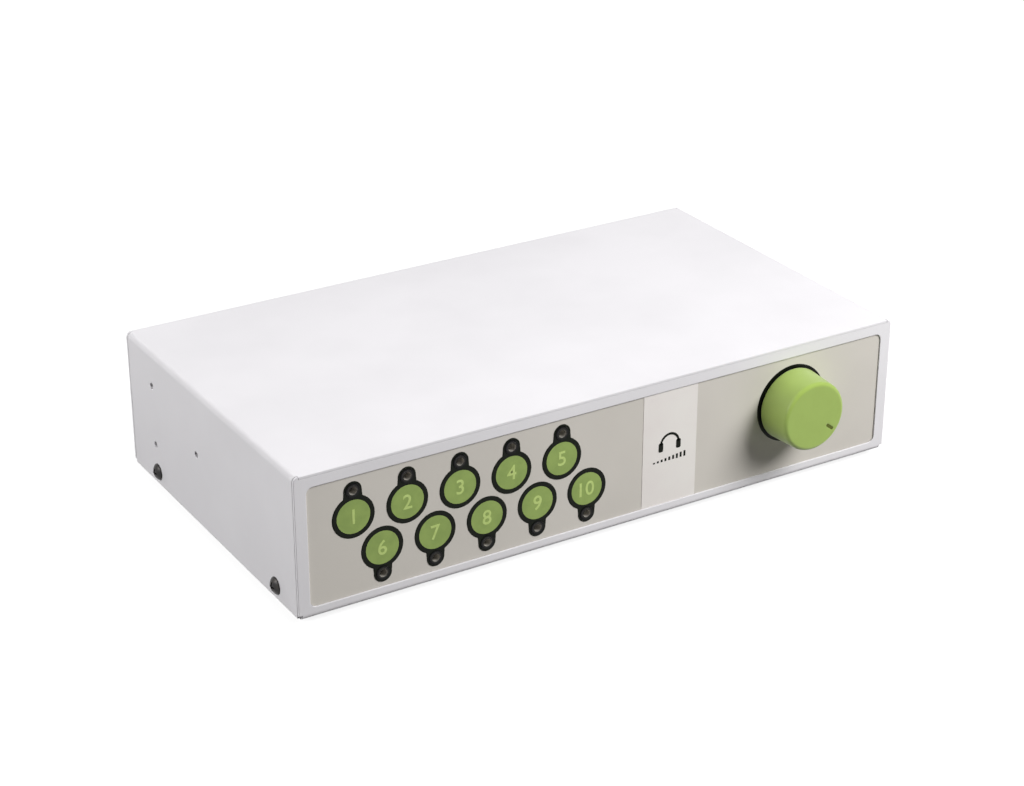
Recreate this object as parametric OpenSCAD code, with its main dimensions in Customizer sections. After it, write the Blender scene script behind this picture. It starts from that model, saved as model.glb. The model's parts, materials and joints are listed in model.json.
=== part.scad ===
// Ten-way headphone splitter: folded steel case, ten numbered sockets and one volume knob.
// Millimetres. +X is to the right seen from the front, +Y to the rear, +Z up.
// The origin lies under the middle of the whole object, at the level of its feet.

/* [Case] */
// Width of the case
case_w = 300; // [290:1:360]
// Depth of the case, front face to rear face
case_d = 166; // [150:1:220]
// Height of the case without its feet
case_h = 65; // [62:0.5:90]
// Thickness of the folded steel sheet
sheet_t = 1.2; // [0.8:0.1:2]
// Outer radius of the folds of the cover
cover_fold_r = 2.4; // [2.2:0.1:4]
// Height of the lower edges of the cover above the underside of the case
cover_lift = 1; // [0.3:0.1:2]
// Inner radius of the folds of the chassis
chassis_bend_r = 1.2; // [0.3:0.1:2]
// Gap between the sides of the cover and the chassis, beside and behind the panels
seam_gap = 0.3; // [0.2:0.05:0.6]
// Height of the side flanges that the cover is screwed to
flange_h = 16; // [12:1:24]
// Slot cut between a side flange and the front or rear fold
flange_relief = 2; // [1:0.5:5]
// Distance from the front face to the front cover screws
front_screw_inset = 20.6; // [15:0.2:40]
// Distance from the rear face to the rear cover screws
rear_screw_inset = 27; // [15:0.5:40]
// Gap between the fold of the floor and the nuts of the cover screws
nut_rise = 1.1; // [0.2:0.1:2.5]
// Diameter of the small holes in the left side
side_hole_d = 3; // [2:0.1:5]
// Distance from the rear face to the pair of side holes, one above the other
side_pair_inset = 26; // [15:0.5:45]
// Height of the lower hole of the pair above the underside of the case
side_pair_rise = 20; // [18:0.5:28]
// Spacing of the pair
side_pair_pitch = 28.8; // [16:0.2:30]
// Distance from the rear face to the single side hole at the middle height of the pair
side_single_inset = 71; // [55:1:100]

/* [Feet] */
// Diameter of a foot where it meets the case
foot_d = 15; // [12:0.5:20]
// Diameter of a foot where it meets the table
foot_base_d = 13; // [10:0.5:18]
// Height of a foot
foot_h = 3; // [3:0.5:10]
// Distance from the case sides to the middle of a foot
foot_inset = 22; // [16:1:40]
// Depth of the screw head inside the foot
foot_screw_depth = 0.4; // [0.2:0.1:1]

/* [Front print] */
// Depth of the recess pressed into the front panel for the overlay
panel_recess = 1; // [0.6:0.1:1.5]
// Bare steel left and right of the recess
overlay_side_margin = 5.3; // [4:0.1:15]
// Bare steel below the recess
overlay_low_margin = 4.9; // [4:0.1:12]
// Bare steel above the recess
overlay_top_margin = 5.8; // [3:0.1:12]
// Corner radius of the recess
overlay_corner_r = 3; // [1:0.5:6]
// Thickness of the overlay
overlay_t = 0.5; // [0.3:0.1:1]
// Thickness of the printed layer
ink_t = 0.15; // [0.1:0.05:0.3]
// Distance from the left side of the case to the pale strip
strip_inset = 166.2; // [160:0.1:175]
// Width of the pale strip
strip_w = 28; // [15:0.5:32]
// Outer diameter of the black ring round a number disc
disc_d = 18.8; // [14:0.2:20]
// Width of the black ring round a number disc
disc_ring_w = 1.8; // [0.8:0.1:3]
// Width of the black tab that runs from a disc to its socket
tab_w = 8.2; // [7.6:0.2:10]
// Outer diameter of the black ring round the knob
knob_ring_d = 36.8; // [36:0.2:44]
// Width of the black ring round the knob
knob_ring_w = 3; // [2:0.2:6]

/* [Headphone sockets] */
// Distance from the left side of the case to the first disc of the upper row
disc_inset = 26.1; // [24:0.1:35]
// Spacing of the discs in a row
disc_pitch = 24.7; // [20:0.05:26]
// Shift of the lower row to the right
row_shift = 12.7; // [8:0.1:16]
// Height of the lower sockets above the lower edge of the recess
low_socket_rise = 6.4; // [4.6:0.1:8]
// Depth of the upper sockets below the upper edge of the recess
top_socket_drop = 6.6; // [4.6:0.1:12]
// Distance from a disc to its socket
socket_offset = 11.8; // [11:0.1:13]
// Bore that takes the headphone plug
plug_d = 3.6; // [3.5:0.05:4]
// Wall of the metal ferrule
ferrule_wall = 0.6; // [0.3:0.1:0.8]
// Length of the metal ferrule
ferrule_len = 5; // [3:0.5:6]
// Diameter of the socket nose
nose_d = 6.2; // [6.2:0.1:7]
// Height of the nose above the print
nose_proud = 0.3; // [0.1:0.1:1]
// Width and height of the jack housing
jack_w = 11; // [9:0.5:12]
// Length of the jack housing behind the panel
jack_len = 14; // [13:0.5:20]
// Wall at the closed end of a jack housing
jack_back_wall = 1; // [0.6:0.2:2]
// Width of a contact spring
spring_w = 2; // [1.2:0.2:3]
// Thickness of a contact spring
spring_t = 0.4; // [0.2:0.1:0.6]
// Length of a contact spring inside the housing
spring_len = 7.5; // [5:0.5:8]
// Width of a contact tail
tail_w = 1; // [0.6:0.1:1.4]

/* [Volume control] */
// Distance from the right side of the case to the knob axis
knob_inset = 54.5; // [40:0.5:70]
// Height of the knob axis above the middle of the case
knob_rise = 4.3; // [0:0.05:6]
// Diameter of the knob at its base
knob_base_d = 34; // [28:0.5:36]
// Diameter of the knob at its face
knob_face_d = 32.4; // [26:0.2:34]
// Length of the knob
knob_len = 16.5; // [13:0.5:22]
// Radius of the rounded edge of the knob face
knob_edge_r = 1.8; // [0.6:0.2:3]
// Running gap between the knob and the print
knob_gap = 0.9; // [0.5:0.1:2]
// Side wall of the hollow knob
knob_wall = 2.4; // [1.5:0.1:4]
// Thickness of the knob face
knob_face_t = 2; // [1.5:0.1:3]
// Diameter of the hub inside the knob
knob_hub_d = 11; // [10:0.5:14]
// Diameter of the metal insert in the hub
insert_d = 8.4; // [7.5:0.1:9]
// Ribs between the hub and the side wall
rib_count = 6; // [3:1:10]
// Thickness of a rib
rib_t = 1.4; // [0.8:0.1:2]
// Angle of the pointer clockwise from straight up
pointer_angle = 128; // [-150:1:150]
// Distance from the knob axis to the middle of the pointer
pointer_offset = 11; // [6:0.5:11]
// Length of the pointer
pointer_len = 4.6; // [2:0.2:6]
// Width of the pointer
pointer_w = 1.4; // [0.8:0.1:2]
// Depth of the pointer
pointer_depth = 0.5; // [0.3:0.1:0.8]
// Diameter of the potentiometer shaft
shaft_d = 6; // [5:0.1:6.2]
// Thickness of the shaft across its flat
shaft_flat = 4.5; // [4:0.1:5]
// Diameter of the threaded bush
bush_d = 7; // [6.8:0.1:8]
// Length of the threaded bush, from the bush plate forward
bush_len = 7.5; // [6.5:0.1:8]
// Diameter of the potentiometer can
can_d = 17; // [16:0.5:24]
// Length of the potentiometer can
can_len = 10; // [8:0.5:16]
// Wall of the potentiometer can
can_wall = 0.5; // [0.3:0.1:0.8]
// Thickness of the bush plate
bush_plate_t = 2; // [1:0.1:3]
// Thickness of the resistive wafer
wafer_t = 1.2; // [0.8:0.1:2]
// Width of the terminal tongue of the wafer
tongue_w = 11; // [9:0.5:13]
// Height of the terminal tongue above the can
tongue_rise = 6; // [5:0.5:8]
// Spacing of the three terminals
terminal_pitch = 3; // [2.5:0.1:3.5]
// Thickness of the potentiometer wiper
wiper_t = 3; // [2:0.2:4]
// Diameter of the hub of the wiper
wiper_d = 11; // [9:0.5:14]
// Thickness of the shaft clip
clip_t = 0.6; // [0.4:0.1:0.8]
// Outer diameter of the shaft clip
clip_d = 9; // [8:0.2:10]
// Depth of the clip groove in the shaft
clip_groove = 0.5; // [0.3:0.1:0.8]
// Outer diameter of the bush washer
washer_d = 12; // [11:0.5:14]
// Thickness of the bush washer
washer_t = 0.5; // [0.4:0.1:1]
// Width across the flats of the bush nut
bush_nut_af = 10; // [9.5:0.5:11]
// Thickness of the bush nut
bush_nut_t = 2.2; // [1.5:0.1:2.5]

/* [Boards] */
// Thickness of the circuit boards
board_t = 1.6; // [1:0.1:2]
// Height of the standoffs under the amplifier board
standoff_h = 8; // [6:0.5:11]
// Width across the flats of a standoff
standoff_af = 5.5; // [5:0.1:7]
// Distance from the board edges to the standoffs
standoff_inset = 6; // [5:0.5:7]
// Gap between the amplifier board and the rear panel
board_rear_gap = 0.8; // [0.5:0.1:2]
// Amplifier board to the left of the ribbon
board_left_reach = 30; // [24:1:36]
// Amplifier board to the right of the knob axis
board_right_reach = 16; // [15:1:25]
// Amplifier board in front of the ribbon
board_front_reach = 12; // [10:1:14]
// Edge of the jack board past the sockets
board_edge = 6.2; // [5.6:0.1:6.5]
// Distance from the last socket of a row to the stud beside it
stud_reach = 10; // [9:0.5:14]
// Outer diameter of a stud spacer
spacer_d = 5.6; // [5:0.1:6]
// Width of the ribbon cable
ribbon_w = 20; // [12:1:24]
// Thickness of the ribbon cable
ribbon_t = 0.9; // [0.6:0.1:1.2]
// Inner radius of the cable bends
cable_bend_r = 5; // [3:0.5:6]
// Straight run of the ribbon behind the jack board
ribbon_run = 36; // [20:1:45]
// Width of the cable of the potentiometer
pot_cable_w = 8; // [6:0.5:10]
// Height of a cable header
header_h = 8.5; // [6:0.5:9]
// Depth of a cable header
header_d = 8; // [6:0.5:9]
// Plastic of a header at each end of its cable
header_end = 2; // [1:0.5:3]
// Amplifier chips on the board
chip_count = 5; // [3:1:5]
// Spacing of the amplifier chips
chip_pitch = 26; // [16:1:30]
// Distance from the front edge of the board to the chips
chip_row = 52; // [46:1:54]
// Spacing of the output capacitors
output_cap_pitch = 13; // [10:0.5:14]
// Diameter of an output capacitor
output_cap_d = 8; // [6:0.5:9]
// Height of an output capacitor
output_cap_h = 11.5; // [9:0.5:16]
// Distance from the front edge of the board to the output capacitors
output_cap_row = 32; // [29:1:34]
// Diameter of a reservoir capacitor
reservoir_cap_d = 12.5; // [10:0.5:14]
// Height of a reservoir capacitor
reservoir_cap_h = 20; // [16:1:30]
// Spacing of the reservoir capacitors
reservoir_cap_pitch = 16; // [15:0.5:20]
// Width of the heat sink
sink_w = 26; // [18:1:32]
// Height of the heat sink
sink_h = 24; // [20:1:32]
// Depth of the heat sink
sink_d = 9; // [6:0.5:10]

/* [Rear connectors] */
// Distance from the right edge of the board to the line-in jack
line_in_inset = 30; // [22:1:40]
// Length of the line-in bush outside the rear panel
line_bush_proud = 4; // [3.5:0.1:5]
// Width across the flats of the line-in nut
line_nut_af = 8.5; // [8:0.1:10]
// Thickness of the line-in nut
line_nut_t = 2; // [1.5:0.1:2.5]
// Distance from the left edge of the board to the power inlet
inlet_inset = 26; // [20:1:30]
// Width of the power inlet housing
inlet_w = 9.6; // [9.6:0.1:11]
// Height of the power inlet housing
inlet_h = 11; // [10:0.5:13]
// Length of the power inlet housing behind the rear panel
inlet_len = 14; // [13:0.5:18]
// Bore of the power inlet
inlet_bore_d = 5.8; // [5.6:0.1:6]
// Diameter of the power inlet nose
inlet_nose_d = 8; // [7.6:0.1:8.4]
// Height of the power inlet nose outside the rear panel
inlet_proud = 0.4; // [0.2:0.1:1]
// Depth of the power inlet bore
inlet_depth = 11; // [9:0.5:12]
// Diameter of the power inlet pin
inlet_pin_d = 2.1; // [1.6:0.1:2.5]
// Diameter of the pin behind its shoulder, where it passes through the housing
inlet_tail_d = 1.5; // [1:0.1:1.5]
// Distance of the pin tip inside the mouth of the power inlet
inlet_pin_setback = 1.5; // [1:0.1:3]

/* [Fasteners and fits] */
// Shank diameter of a cover screw
cover_screw_d = 4; // [3:0.1:4]
// Head diameter of a cover screw
cover_head_d = 7.6; // [6.5:0.1:9]
// Head height of a cover screw
cover_head_h = 2.3; // [1.8:0.1:3]
// Width across the flats of a cover nut
cover_nut_af = 7; // [6.5:0.1:8]
// Thickness of a cover nut
cover_nut_t = 3.2; // [2:0.1:4]
// Shank diameter of the small screws and studs
small_screw_d = 3; // [2.5:0.1:3]
// Head diameter of the small screws
small_head_d = 5.6; // [5:0.1:6]
// Head height of the small screws
small_head_h = 1.8; // [1.4:0.1:2]
// Width across the flats of the small nuts
small_nut_af = 5.5; // [5:0.1:6]
// Thickness of the small nuts
small_nut_t = 2.4; // [1.8:0.1:3]
// Screw left standing past its nut
thread_end = 0.8; // [0.5:0.1:2]
// Straight rim under the dome of a screw head
head_rim = 0.5; // [0.3:0.1:0.8]
// Width of the cross recess in a screw head
recess_w = 0.9; // [0.6:0.1:1.2]
// Depth of the cross recess in a screw head
recess_depth = 1; // [0.6:0.1:1.2]
// Radial clearance of a screw in a plain hole
hole_clear = 0.2; // [0.1:0.05:0.4]
// Radial clearance of a screw in its nut
thread_clear = 0.05; // [0.02:0.01:0.1]
// Radial clearance of a pressed or glued piece in its seat
seat_clear = 0.03; // [0.02:0.01:0.05]
// Radial clearance of the turning shaft in its bush
running_clear = 0.05; // [0.03:0.01:0.08]
// Clearance round pieces that pass through the panels and boards
pass_clear = 0.15; // [0.1:0.05:0.3]

/* [Hidden] */
$fn = 64;
// How far a cutting shape runs past what it cuts
cut = 1;
row_socket_count = 5;
socket_count = 2 * row_socket_count;
sockets = [0 : socket_count - 1];
chassis_w = case_w - 2 * (sheet_t + seam_gap);
chassis_h = case_h - sheet_t;
chassis_fold_r = sheet_t + chassis_bend_r;
cover_end_w = case_w - 2 * cover_fold_r;
print_t = overlay_t + ink_t;
nose_reach = print_t + nose_proud;
front_reach = print_t + knob_gap + knob_len;
case_y = (front_reach - panel_recess - line_bush_proud) / 2;
front_y = case_y - case_d / 2;
panel_y = front_y + panel_recess;
rear_y = case_y + case_d / 2;
left_x = -case_w / 2;
right_x = case_w / 2;
base_z = foot_h;
floor_z = base_z + sheet_t;
mid_z = base_z + case_h / 2;
recess_low_z = base_z + overlay_low_margin;
recess_top_z = base_z + case_h - overlay_top_margin;
rows_z = (socket_z(0) + socket_z(row_socket_count)) / 2;
flange_x = chassis_w / 2 - sheet_t;
flange_start = chassis_fold_r + flange_relief;
cover_screw_z = base_z + chassis_fold_r + cover_nut_af / 2 + nut_rise;
side_hole_z = base_z + side_pair_rise;
foot_web = foot_h - small_head_h - foot_screw_depth;
foot_x = case_w / 2 - foot_inset;
foot_y = case_d / 2 - foot_inset;
cover_hole_d = cover_screw_d + 2 * hole_clear;
cover_shank_len = case_w / 2 - flange_x + cover_nut_t + thread_end;
small_hole_d = small_screw_d + 2 * hole_clear;
small_thread_d = small_screw_d + 2 * thread_clear;
spigot_d = small_hole_d - 2 * thread_clear;
nose_hole_d = nose_d + 2 * pass_clear;

ferrule_r = plug_d / 2 + ferrule_wall;
spring_r = plug_d / 2 + pass_clear;
spring_seat_r = spring_r + spring_t;
spring_mid_r = spring_r + spring_t / 2;
tail_hole_d = norm([tail_w, spring_t]) + 2 * pass_clear;
jack_back = sheet_t + jack_len;
jack_board_back = jack_back + board_t;
ribbon_x = (stud_x(0, -1) + stud_x(1, 1)) / 2;
ribbon_start_y = panel_y + jack_board_back + header_h;
ribbon_y = ribbon_start_y + ribbon_run + cable_bend_r + ribbon_t / 2;

board_x0 = ribbon_x - board_left_reach;
board_x1 = right_x - knob_inset + board_right_reach;
board_y0 = ribbon_y - board_front_reach;
board_y1 = rear_y - sheet_t - board_rear_gap;
board_z = floor_z + standoff_h;
board_top = board_z + board_t;
board_mid_x = (board_x0 + board_x1) / 2;

knob_x = right_x - knob_inset;
knob_z = mid_z + knob_rise;
knob_base = print_t + knob_gap;
bush_front = bush_len - sheet_t;
clip_gap = 0.1;
clip_front = bush_front + clip_gap + clip_t;
hub_start = clip_front + clip_gap;
hub_z = hub_start - knob_base;
insert_len = knob_len - knob_face_t - hub_z;
shaft_front = front_reach - knob_face_t - clip_gap;
wafer_front = sheet_t + bush_plate_t;
wafer_back = wafer_front + wafer_t;
wiper_front = wafer_back + clip_gap;
wiper_back = wiper_front + wiper_t;
wafer_d = can_d - 2 * (can_wall + pass_clear);
key_r = (can_d + washer_d) / 4;
key_w = 2.6;
key_t = 1.2;
terminal_w = 1.4;
terminal_t = 0.4;
terminal_z = can_d / 2 + tongue_rise / 2;
pot_header_y = board_y0 + standoff_inset + header_d / 2;

line_x = board_x1 - line_in_inset;
line_z = board_top + jack_w / 2;
inlet_x = board_x0 + inlet_inset;
inlet_z = board_top + inlet_h / 2;
inlet_floor = inlet_depth - inlet_proud;
leg_w = 1.6;
leg_t = 0.6;
leg_hole_d = norm([leg_w, leg_t]) + 2 * pass_clear;
leg_proud = 1;
line_leg_z = jack_back - jack_back_wall - leg_w - spring_w;
chip_len = 9.4;
chip_w = 6.4;
chip_h = 3.3;
chip_lift = 0.6;
chip_leg_w = 0.6;
chip_leg_d = 0.9;
lead_pitch = 2.54;
cap_groove_r = 0.5;
cap_groove_z = 2;
regulator_w = 10;
regulator_h = 9;
regulator_t = 4.4;
regulator_tab_h = 15.5;
regulator_tab_t = 1.3;
regulator_lift = 4;
wiper_arm_w = 3;
sink_base_t = 3;
sink_fin_t = 1.4;
sink_fins = 5;
sink_y = board_y1 - inlet_len - sink_d - 2 * leg_w;
reservoir_x = inlet_x + (sink_w + reservoir_cap_d) / 2 + leg_w;
reservoir_y = board_y1 - reservoir_cap_d;

white_paint = "#f0eff0";
overlay_grey = "#c2beb8";
strip_grey = "#dcd9d4";
print_black = "#20241c";
print_green = "#93b455";
knob_green = "#94bc4e";
screw_black = "#26262a";
rubber_black = "#232325";
moulded_black = "#1d1d20";
bright_metal = "#c9ccd0";
zinc = "#b4b8bd";
brass = "#c2a45a";
board_green = "#2f6b45";
phenolic_brown = "#6d4a2c";
cable_grey = "#8d9196";
cap_blue = "#2c3f66";

// Row of a socket: 0 is the upper row, 1 the lower one
function row_of(i) = floor(i / row_socket_count);
function row_sign(i) = row_of(i) == 0 ? 1 : -1;
function disc_x(i) = left_x + disc_inset + row_of(i) * row_shift + (i % row_socket_count) * disc_pitch;
function socket_z(i) = row_of(i) == 0 ? recess_top_z - top_socket_drop : recess_low_z + low_socket_rise;
function disc_z(i) = socket_z(i) - row_sign(i) * socket_offset;
// Studs stand beside the first and the last socket of each row
function end_socket(row, side) = row * row_socket_count + (side > 0 ? row_socket_count - 1 : 0);
function stud_x(row, side) = disc_x(end_socket(row, side)) + side * stud_reach;
function stud_z(row) = socket_z(end_socket(row, 1));
function centred(i, count, pitch) = (i - (count - 1) / 2) * pitch;

// Flat shapes

// Sheet outline with two round corners at the top, standing on the X axis
module arch(w, h, r) {
    translate([-w / 2, 0]) square([w, h - r]);
    translate([r - w / 2, 0]) square([w - 2 * r, h]);
    for (side = [-1, 1]) translate([side * (w / 2 - r), h - r]) circle(r);
}

// The same outline with its round corners at the bottom
module trough(w, h, r) {
    translate([0, h]) mirror([0, 1]) arch(w, h, r);
}

module round_rect(w, h, r) {
    square([w - 2 * r, h], center = true);
    square([w, h - 2 * r], center = true);
    for (x = [-1, 1], z = [-1, 1]) translate([x * (w / 2 - r), z * (h / 2 - r)]) circle(r);
}

// Keyhole print of one socket: a disc with a round-ended tab
module keyhole(i) {
    translate([disc_x(i), disc_z(i)]) {
        circle(d = disc_d);
        mirror([0, row_sign(i) < 0 ? 1 : 0]) {
            translate([-tab_w / 2, 0]) square([tab_w, socket_offset]);
            translate([0, socket_offset]) circle(d = tab_w);
        }
    }
}

module nose_holes(d) {
    for (i = sockets) translate([disc_x(i), socket_z(i)]) circle(d = d);
}

// Outline of the shaft with its flat facing down
module flatted_circle(d, across) {
    intersection() {
        circle(d = d);
        translate([-d / 2, d / 2 - across]) square([d, across]);
    }
}

// Placing

// Stands a flat X and Z outline up and gives it a thickness towards the front
module upright(y, thickness) {
    translate([0, y, 0]) rotate([90, 0, 0]) linear_extrude(thickness) children();
}

// Sets a piece drawn along Z, with the outer face of the panel at 0, into the recess or the rear panel
module in_front(x, z) {
    translate([x, panel_y, z]) rotate([-90, 0, 0]) children();
}

module in_rear(x, z) {
    translate([x, rear_y, z]) rotate([90, 0, 0]) children();
}

module at_socket(i) {
    in_front(disc_x(i), socket_z(i)) children();
}

module at_knob() {
    in_front(knob_x, knob_z) children();
}

module at_studs() {
    for (row = [0, 1], side = [-1, 1]) in_front(stud_x(row, side), stud_z(row)) children();
}

module at_cover_screws() {
    for (y = [front_y + front_screw_inset, rear_y - rear_screw_inset], side = [-1, 1])
        translate([0, y, cover_screw_z]) rotate([0, side * 90, 0]) children();
}

module at_foot(x_side, y_side) {
    translate([x_side * foot_x, case_y + y_side * foot_y, 0]) children();
}

module at_feet() {
    for (x_side = [-1, 1], y_side = [-1, 1]) at_foot(x_side, y_side) children();
}

module at_standoffs() {
    for (x = [board_x0 + standoff_inset, board_x1 - standoff_inset])
        for (y = [board_y0 + standoff_inset, board_y1 - standoff_inset]) translate([x, y, 0]) children();
}

// Common fasteners, standing on the plane at 0

module domed_screw(head_d, head_h, shank_d, shank_len) {
    rise = head_h - head_rim;
    dome_r = (pow(head_d / 2, 2) + rise * rise) / (2 * rise);
    difference() {
        rotate_extrude() {
            intersection() {
                translate([0, head_h - dome_r]) circle(dome_r);
                square([head_d / 2, head_h]);
            }
            translate([0, -shank_len]) square([shank_d / 2, shank_len + head_rim]);
        }
        for (turn = [0, 90])
            rotate(turn) translate([-shank_d / 2, -recess_w / 2, head_h - recess_depth])
                cube([shank_d, recess_w, head_h]);
    }
}

module small_screw(shank_len) {
    domed_screw(small_head_d, small_head_h, small_screw_d, shank_len);
}

module hex_nut(af, thickness, bore_d) {
    difference() {
        rotate(30) cylinder(d = af / cos(30), h = thickness, $fn = 6);
        drill(bore_d, 0, thickness);
    }
}

module tube(outer_d, bore_d, length) {
    difference() {
        cylinder(d = outer_d, h = length);
        drill(bore_d, 0, length);
    }
}

// Cutter for a round hole that goes right through, from z up
module drill(d, z, depth) {
    translate([0, 0, z - cut]) cylinder(d = d, h = depth + 2 * cut);
}

// Case

module top_cover() {
    cover_h = case_h - cover_lift;
    color(white_paint) difference() {
        translate([0, 0, base_z + cover_lift]) upright(rear_y, case_d) difference() {
            arch(case_w, cover_h, cover_fold_r);
            translate([0, -cut])
                arch(case_w - 2 * sheet_t, cover_h - sheet_t + cut, cover_fold_r - sheet_t);
        }
        for (side = [-1, 1], end = [-1, 1]) cover_corner(side, end);
        at_cover_screws() drill(cover_hole_d, case_w / 2 - sheet_t, sheet_t);
        for (rise = [0, side_pair_pitch]) side_hole(side_pair_inset, rise);
        side_hole(side_single_inset, side_pair_pitch / 2);
    }
}

// End of a side and its fold, which give way to the front or rear panel
module cover_corner(side, end) {
    translate([side * case_w / 2, case_y + end * case_d / 2, mid_z])
        cube([case_w - cover_end_w, 2 * (sheet_t + seam_gap), 2 * case_h], center = true);
}

module side_hole(inset, rise) {
    translate([left_x, rear_y - inset, side_hole_z + rise]) rotate([0, 90, 0]) drill(side_hole_d, 0, sheet_t);
}

module chassis() {
    color(white_paint) difference() {
        union() {
            difference() {
                tray();
                for (side = [-1, 1]) floor_edge(side);
            }
            side_flanges();
            for (y = [front_y + sheet_t, rear_y]) upright(y, sheet_t) panel_outline();
            upright(panel_y + sheet_t, panel_recess + sheet_t / 2) overlay_outline(sheet_t);
        }
        upright(panel_y, panel_recess + cut) overlay_outline(0);
        upright(panel_y + sheet_t + cut, sheet_t + 2 * cut) {
            nose_holes(nose_hole_d);
            translate([knob_x, knob_z]) circle(d = bush_d + 2 * hole_clear);
        }
        at_knob() translate([0, 0, -cut]) bush_key(sheet_t + 2 * cut, pass_clear);
        in_rear(line_x, line_z) drill(nose_hole_d, 0, sheet_t);
        in_rear(inlet_x, inlet_z) drill(inlet_nose_d + 2 * pass_clear, 0, sheet_t);
        at_cover_screws() drill(cover_hole_d, flange_x, sheet_t);
        at_feet() drill(small_hole_d, base_z, sheet_t);
        at_standoffs() drill(small_hole_d, base_z, sheet_t);
    }
}

// Floor with the front and rear panels folded up
module tray() {
    translate([-chassis_w / 2, case_y, base_z])
    rotate([90, 0, 90]) linear_extrude(chassis_w) difference() {
        trough(case_d, chassis_h, chassis_fold_r);
        translate([0, sheet_t]) trough(case_d - 2 * sheet_t, chassis_h, chassis_bend_r);
    }
}

// Panel above its fold, as wide as the case, with a round corner at each end of the cover
module panel_outline() {
    notch_w = cover_end_w + 2 * seam_gap;
    difference() {
        translate([0, base_z]) arch(case_w, case_h, cover_fold_r);
        translate([left_x - cut, base_z - cut]) square([case_w + 2 * cut, chassis_fold_r + cut]);
        translate([-notch_w / 2, base_z + chassis_h]) square([notch_w, case_h]);
    }
}

// Strip of the floor that gives way to the fold of a side flange
module floor_edge(side) {
    translate([side * (chassis_w - chassis_fold_r) / 2, case_y, floor_z])
        cube([chassis_fold_r, case_d - 2 * flange_start, 2 * chassis_fold_r], center = true);
}

module side_flanges() {
    translate([0, 0, base_z]) upright(rear_y - flange_start, case_d - 2 * flange_start) difference() {
        trough(chassis_w, flange_h, chassis_fold_r);
        translate([0, sheet_t]) trough(chassis_w - 2 * sheet_t, flange_h, chassis_bend_r);
    }
}

module cover_screws() {
    color(screw_black) at_cover_screws() translate([0, 0, case_w / 2])
        domed_screw(cover_head_d, cover_head_h, cover_screw_d, cover_shank_len);
}

module cover_nuts() {
    color(zinc) at_cover_screws() translate([0, 0, flange_x - cover_nut_t])
        hex_nut(cover_nut_af, cover_nut_t, cover_screw_d + 2 * thread_clear);
}

// Feet

module foot(x_side, y_side) {
    color(rubber_black) at_foot(x_side, y_side) difference() {
        cylinder(d1 = foot_base_d, d2 = foot_d, h = foot_h);
        translate([0, 0, -cut]) cylinder(d = small_head_d + 2 * hole_clear, h = foot_h - foot_web + cut);
        drill(small_hole_d, 0, foot_h);
    }
}

module foot_screws() {
    color(zinc) at_feet() translate([0, 0, foot_h - foot_web]) mirror([0, 0, 1])
        small_screw(foot_web + sheet_t + small_nut_t + thread_end);
}

// Identical nuts: four over the feet and four behind the jack board
module small_nuts() {
    color(zinc) {
        at_feet() translate([0, 0, floor_z]) hex_nut(small_nut_af, small_nut_t, small_thread_d);
        at_studs() translate([0, 0, jack_board_back]) hex_nut(small_nut_af, small_nut_t, small_thread_d);
    }
}

// Front overlay and its print

// Outline of the recess, made larger or smaller all round
module overlay_outline(grow) {
    height = recess_top_z - recess_low_z;
    width = case_w - 2 * overlay_side_margin;
    translate([0, recess_low_z + height / 2])
        round_rect(width + 2 * grow, height + 2 * grow, overlay_corner_r + grow);
}

module front_overlay() {
    color(overlay_grey) upright(panel_y, overlay_t) difference() {
        overlay_outline(-pass_clear);
        nose_holes(nose_hole_d);
        translate([knob_x, knob_z]) circle(d = max(washer_d, bush_nut_af / cos(30)) + 2 * hole_clear);
    }
}

module printed_outlines() {
    color(print_black) upright(panel_y - overlay_t, ink_t) {
        difference() {
            for (i = sockets) keyhole(i);
            number_discs();
            nose_holes(nose_hole_d);
        }
        translate([knob_x, knob_z]) difference() {
            circle(d = knob_ring_d);
            circle(d = knob_ring_d - 2 * knob_ring_w);
        }
    }
}

module number_discs() {
    for (i = sockets) translate([disc_x(i), disc_z(i)]) circle(d = disc_d - 2 * disc_ring_w);
}

module printed_discs() {
    color(print_green) upright(panel_y - overlay_t, ink_t) number_discs();
}

module printed_strip() {
    color(strip_grey) upright(panel_y - overlay_t, ink_t) intersection() {
        overlay_outline(-pass_clear);
        translate([left_x + strip_inset, base_z]) square([strip_w, case_h]);
    }
}

// Headphone jacks and their board

// Moulded jack: round nose through the panel, square housing behind it, and two spring grooves
module jack_shell(reach) {
    difference() {
        union() {
            translate([0, 0, -reach]) cylinder(d = nose_d, h = reach + 2 * sheet_t);
            translate([-jack_w / 2, -jack_w / 2, sheet_t]) cube([jack_w, jack_w, jack_len]);
        }
        translate([0, 0, -reach - cut]) cylinder(r = ferrule_r + seat_clear, h = ferrule_len + cut);
        translate([0, 0, -reach]) cylinder(d = plug_d, h = reach + jack_back - jack_back_wall);
    }
}

module headphone_jack(i) {
    color(moulded_black) at_socket(i) difference() {
        jack_shell(nose_reach);
        translate([-spring_w / 2 - pass_clear, -spring_seat_r, jack_back - spring_len - pass_clear])
            cube([spring_w + 2 * pass_clear, 2 * spring_seat_r, spring_len + pass_clear + cut]);
    }
}

module ferrule(reach) {
    translate([0, 0, -reach]) tube(2 * ferrule_r, plug_d, ferrule_len);
}

module socket_ferrules() {
    color(bright_metal) {
        for (i = sockets) at_socket(i) ferrule(nose_reach);
        in_rear(line_x, line_z) ferrule(line_bush_proud);
    }
}

// Leaf spring above or below the plug bore, with a tail through the jack board
module jack_spring(side) {
    translate([0, side * spring_mid_r, 0]) {
        translate([-spring_w / 2, -spring_t / 2, jack_back - spring_len])
            cube([spring_w, spring_t, spring_len]);
        translate([-tail_w / 2, -spring_t / 2, jack_back - spring_t])
            cube([tail_w, spring_t, board_t + spring_t + leg_proud]);
    }
}

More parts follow.
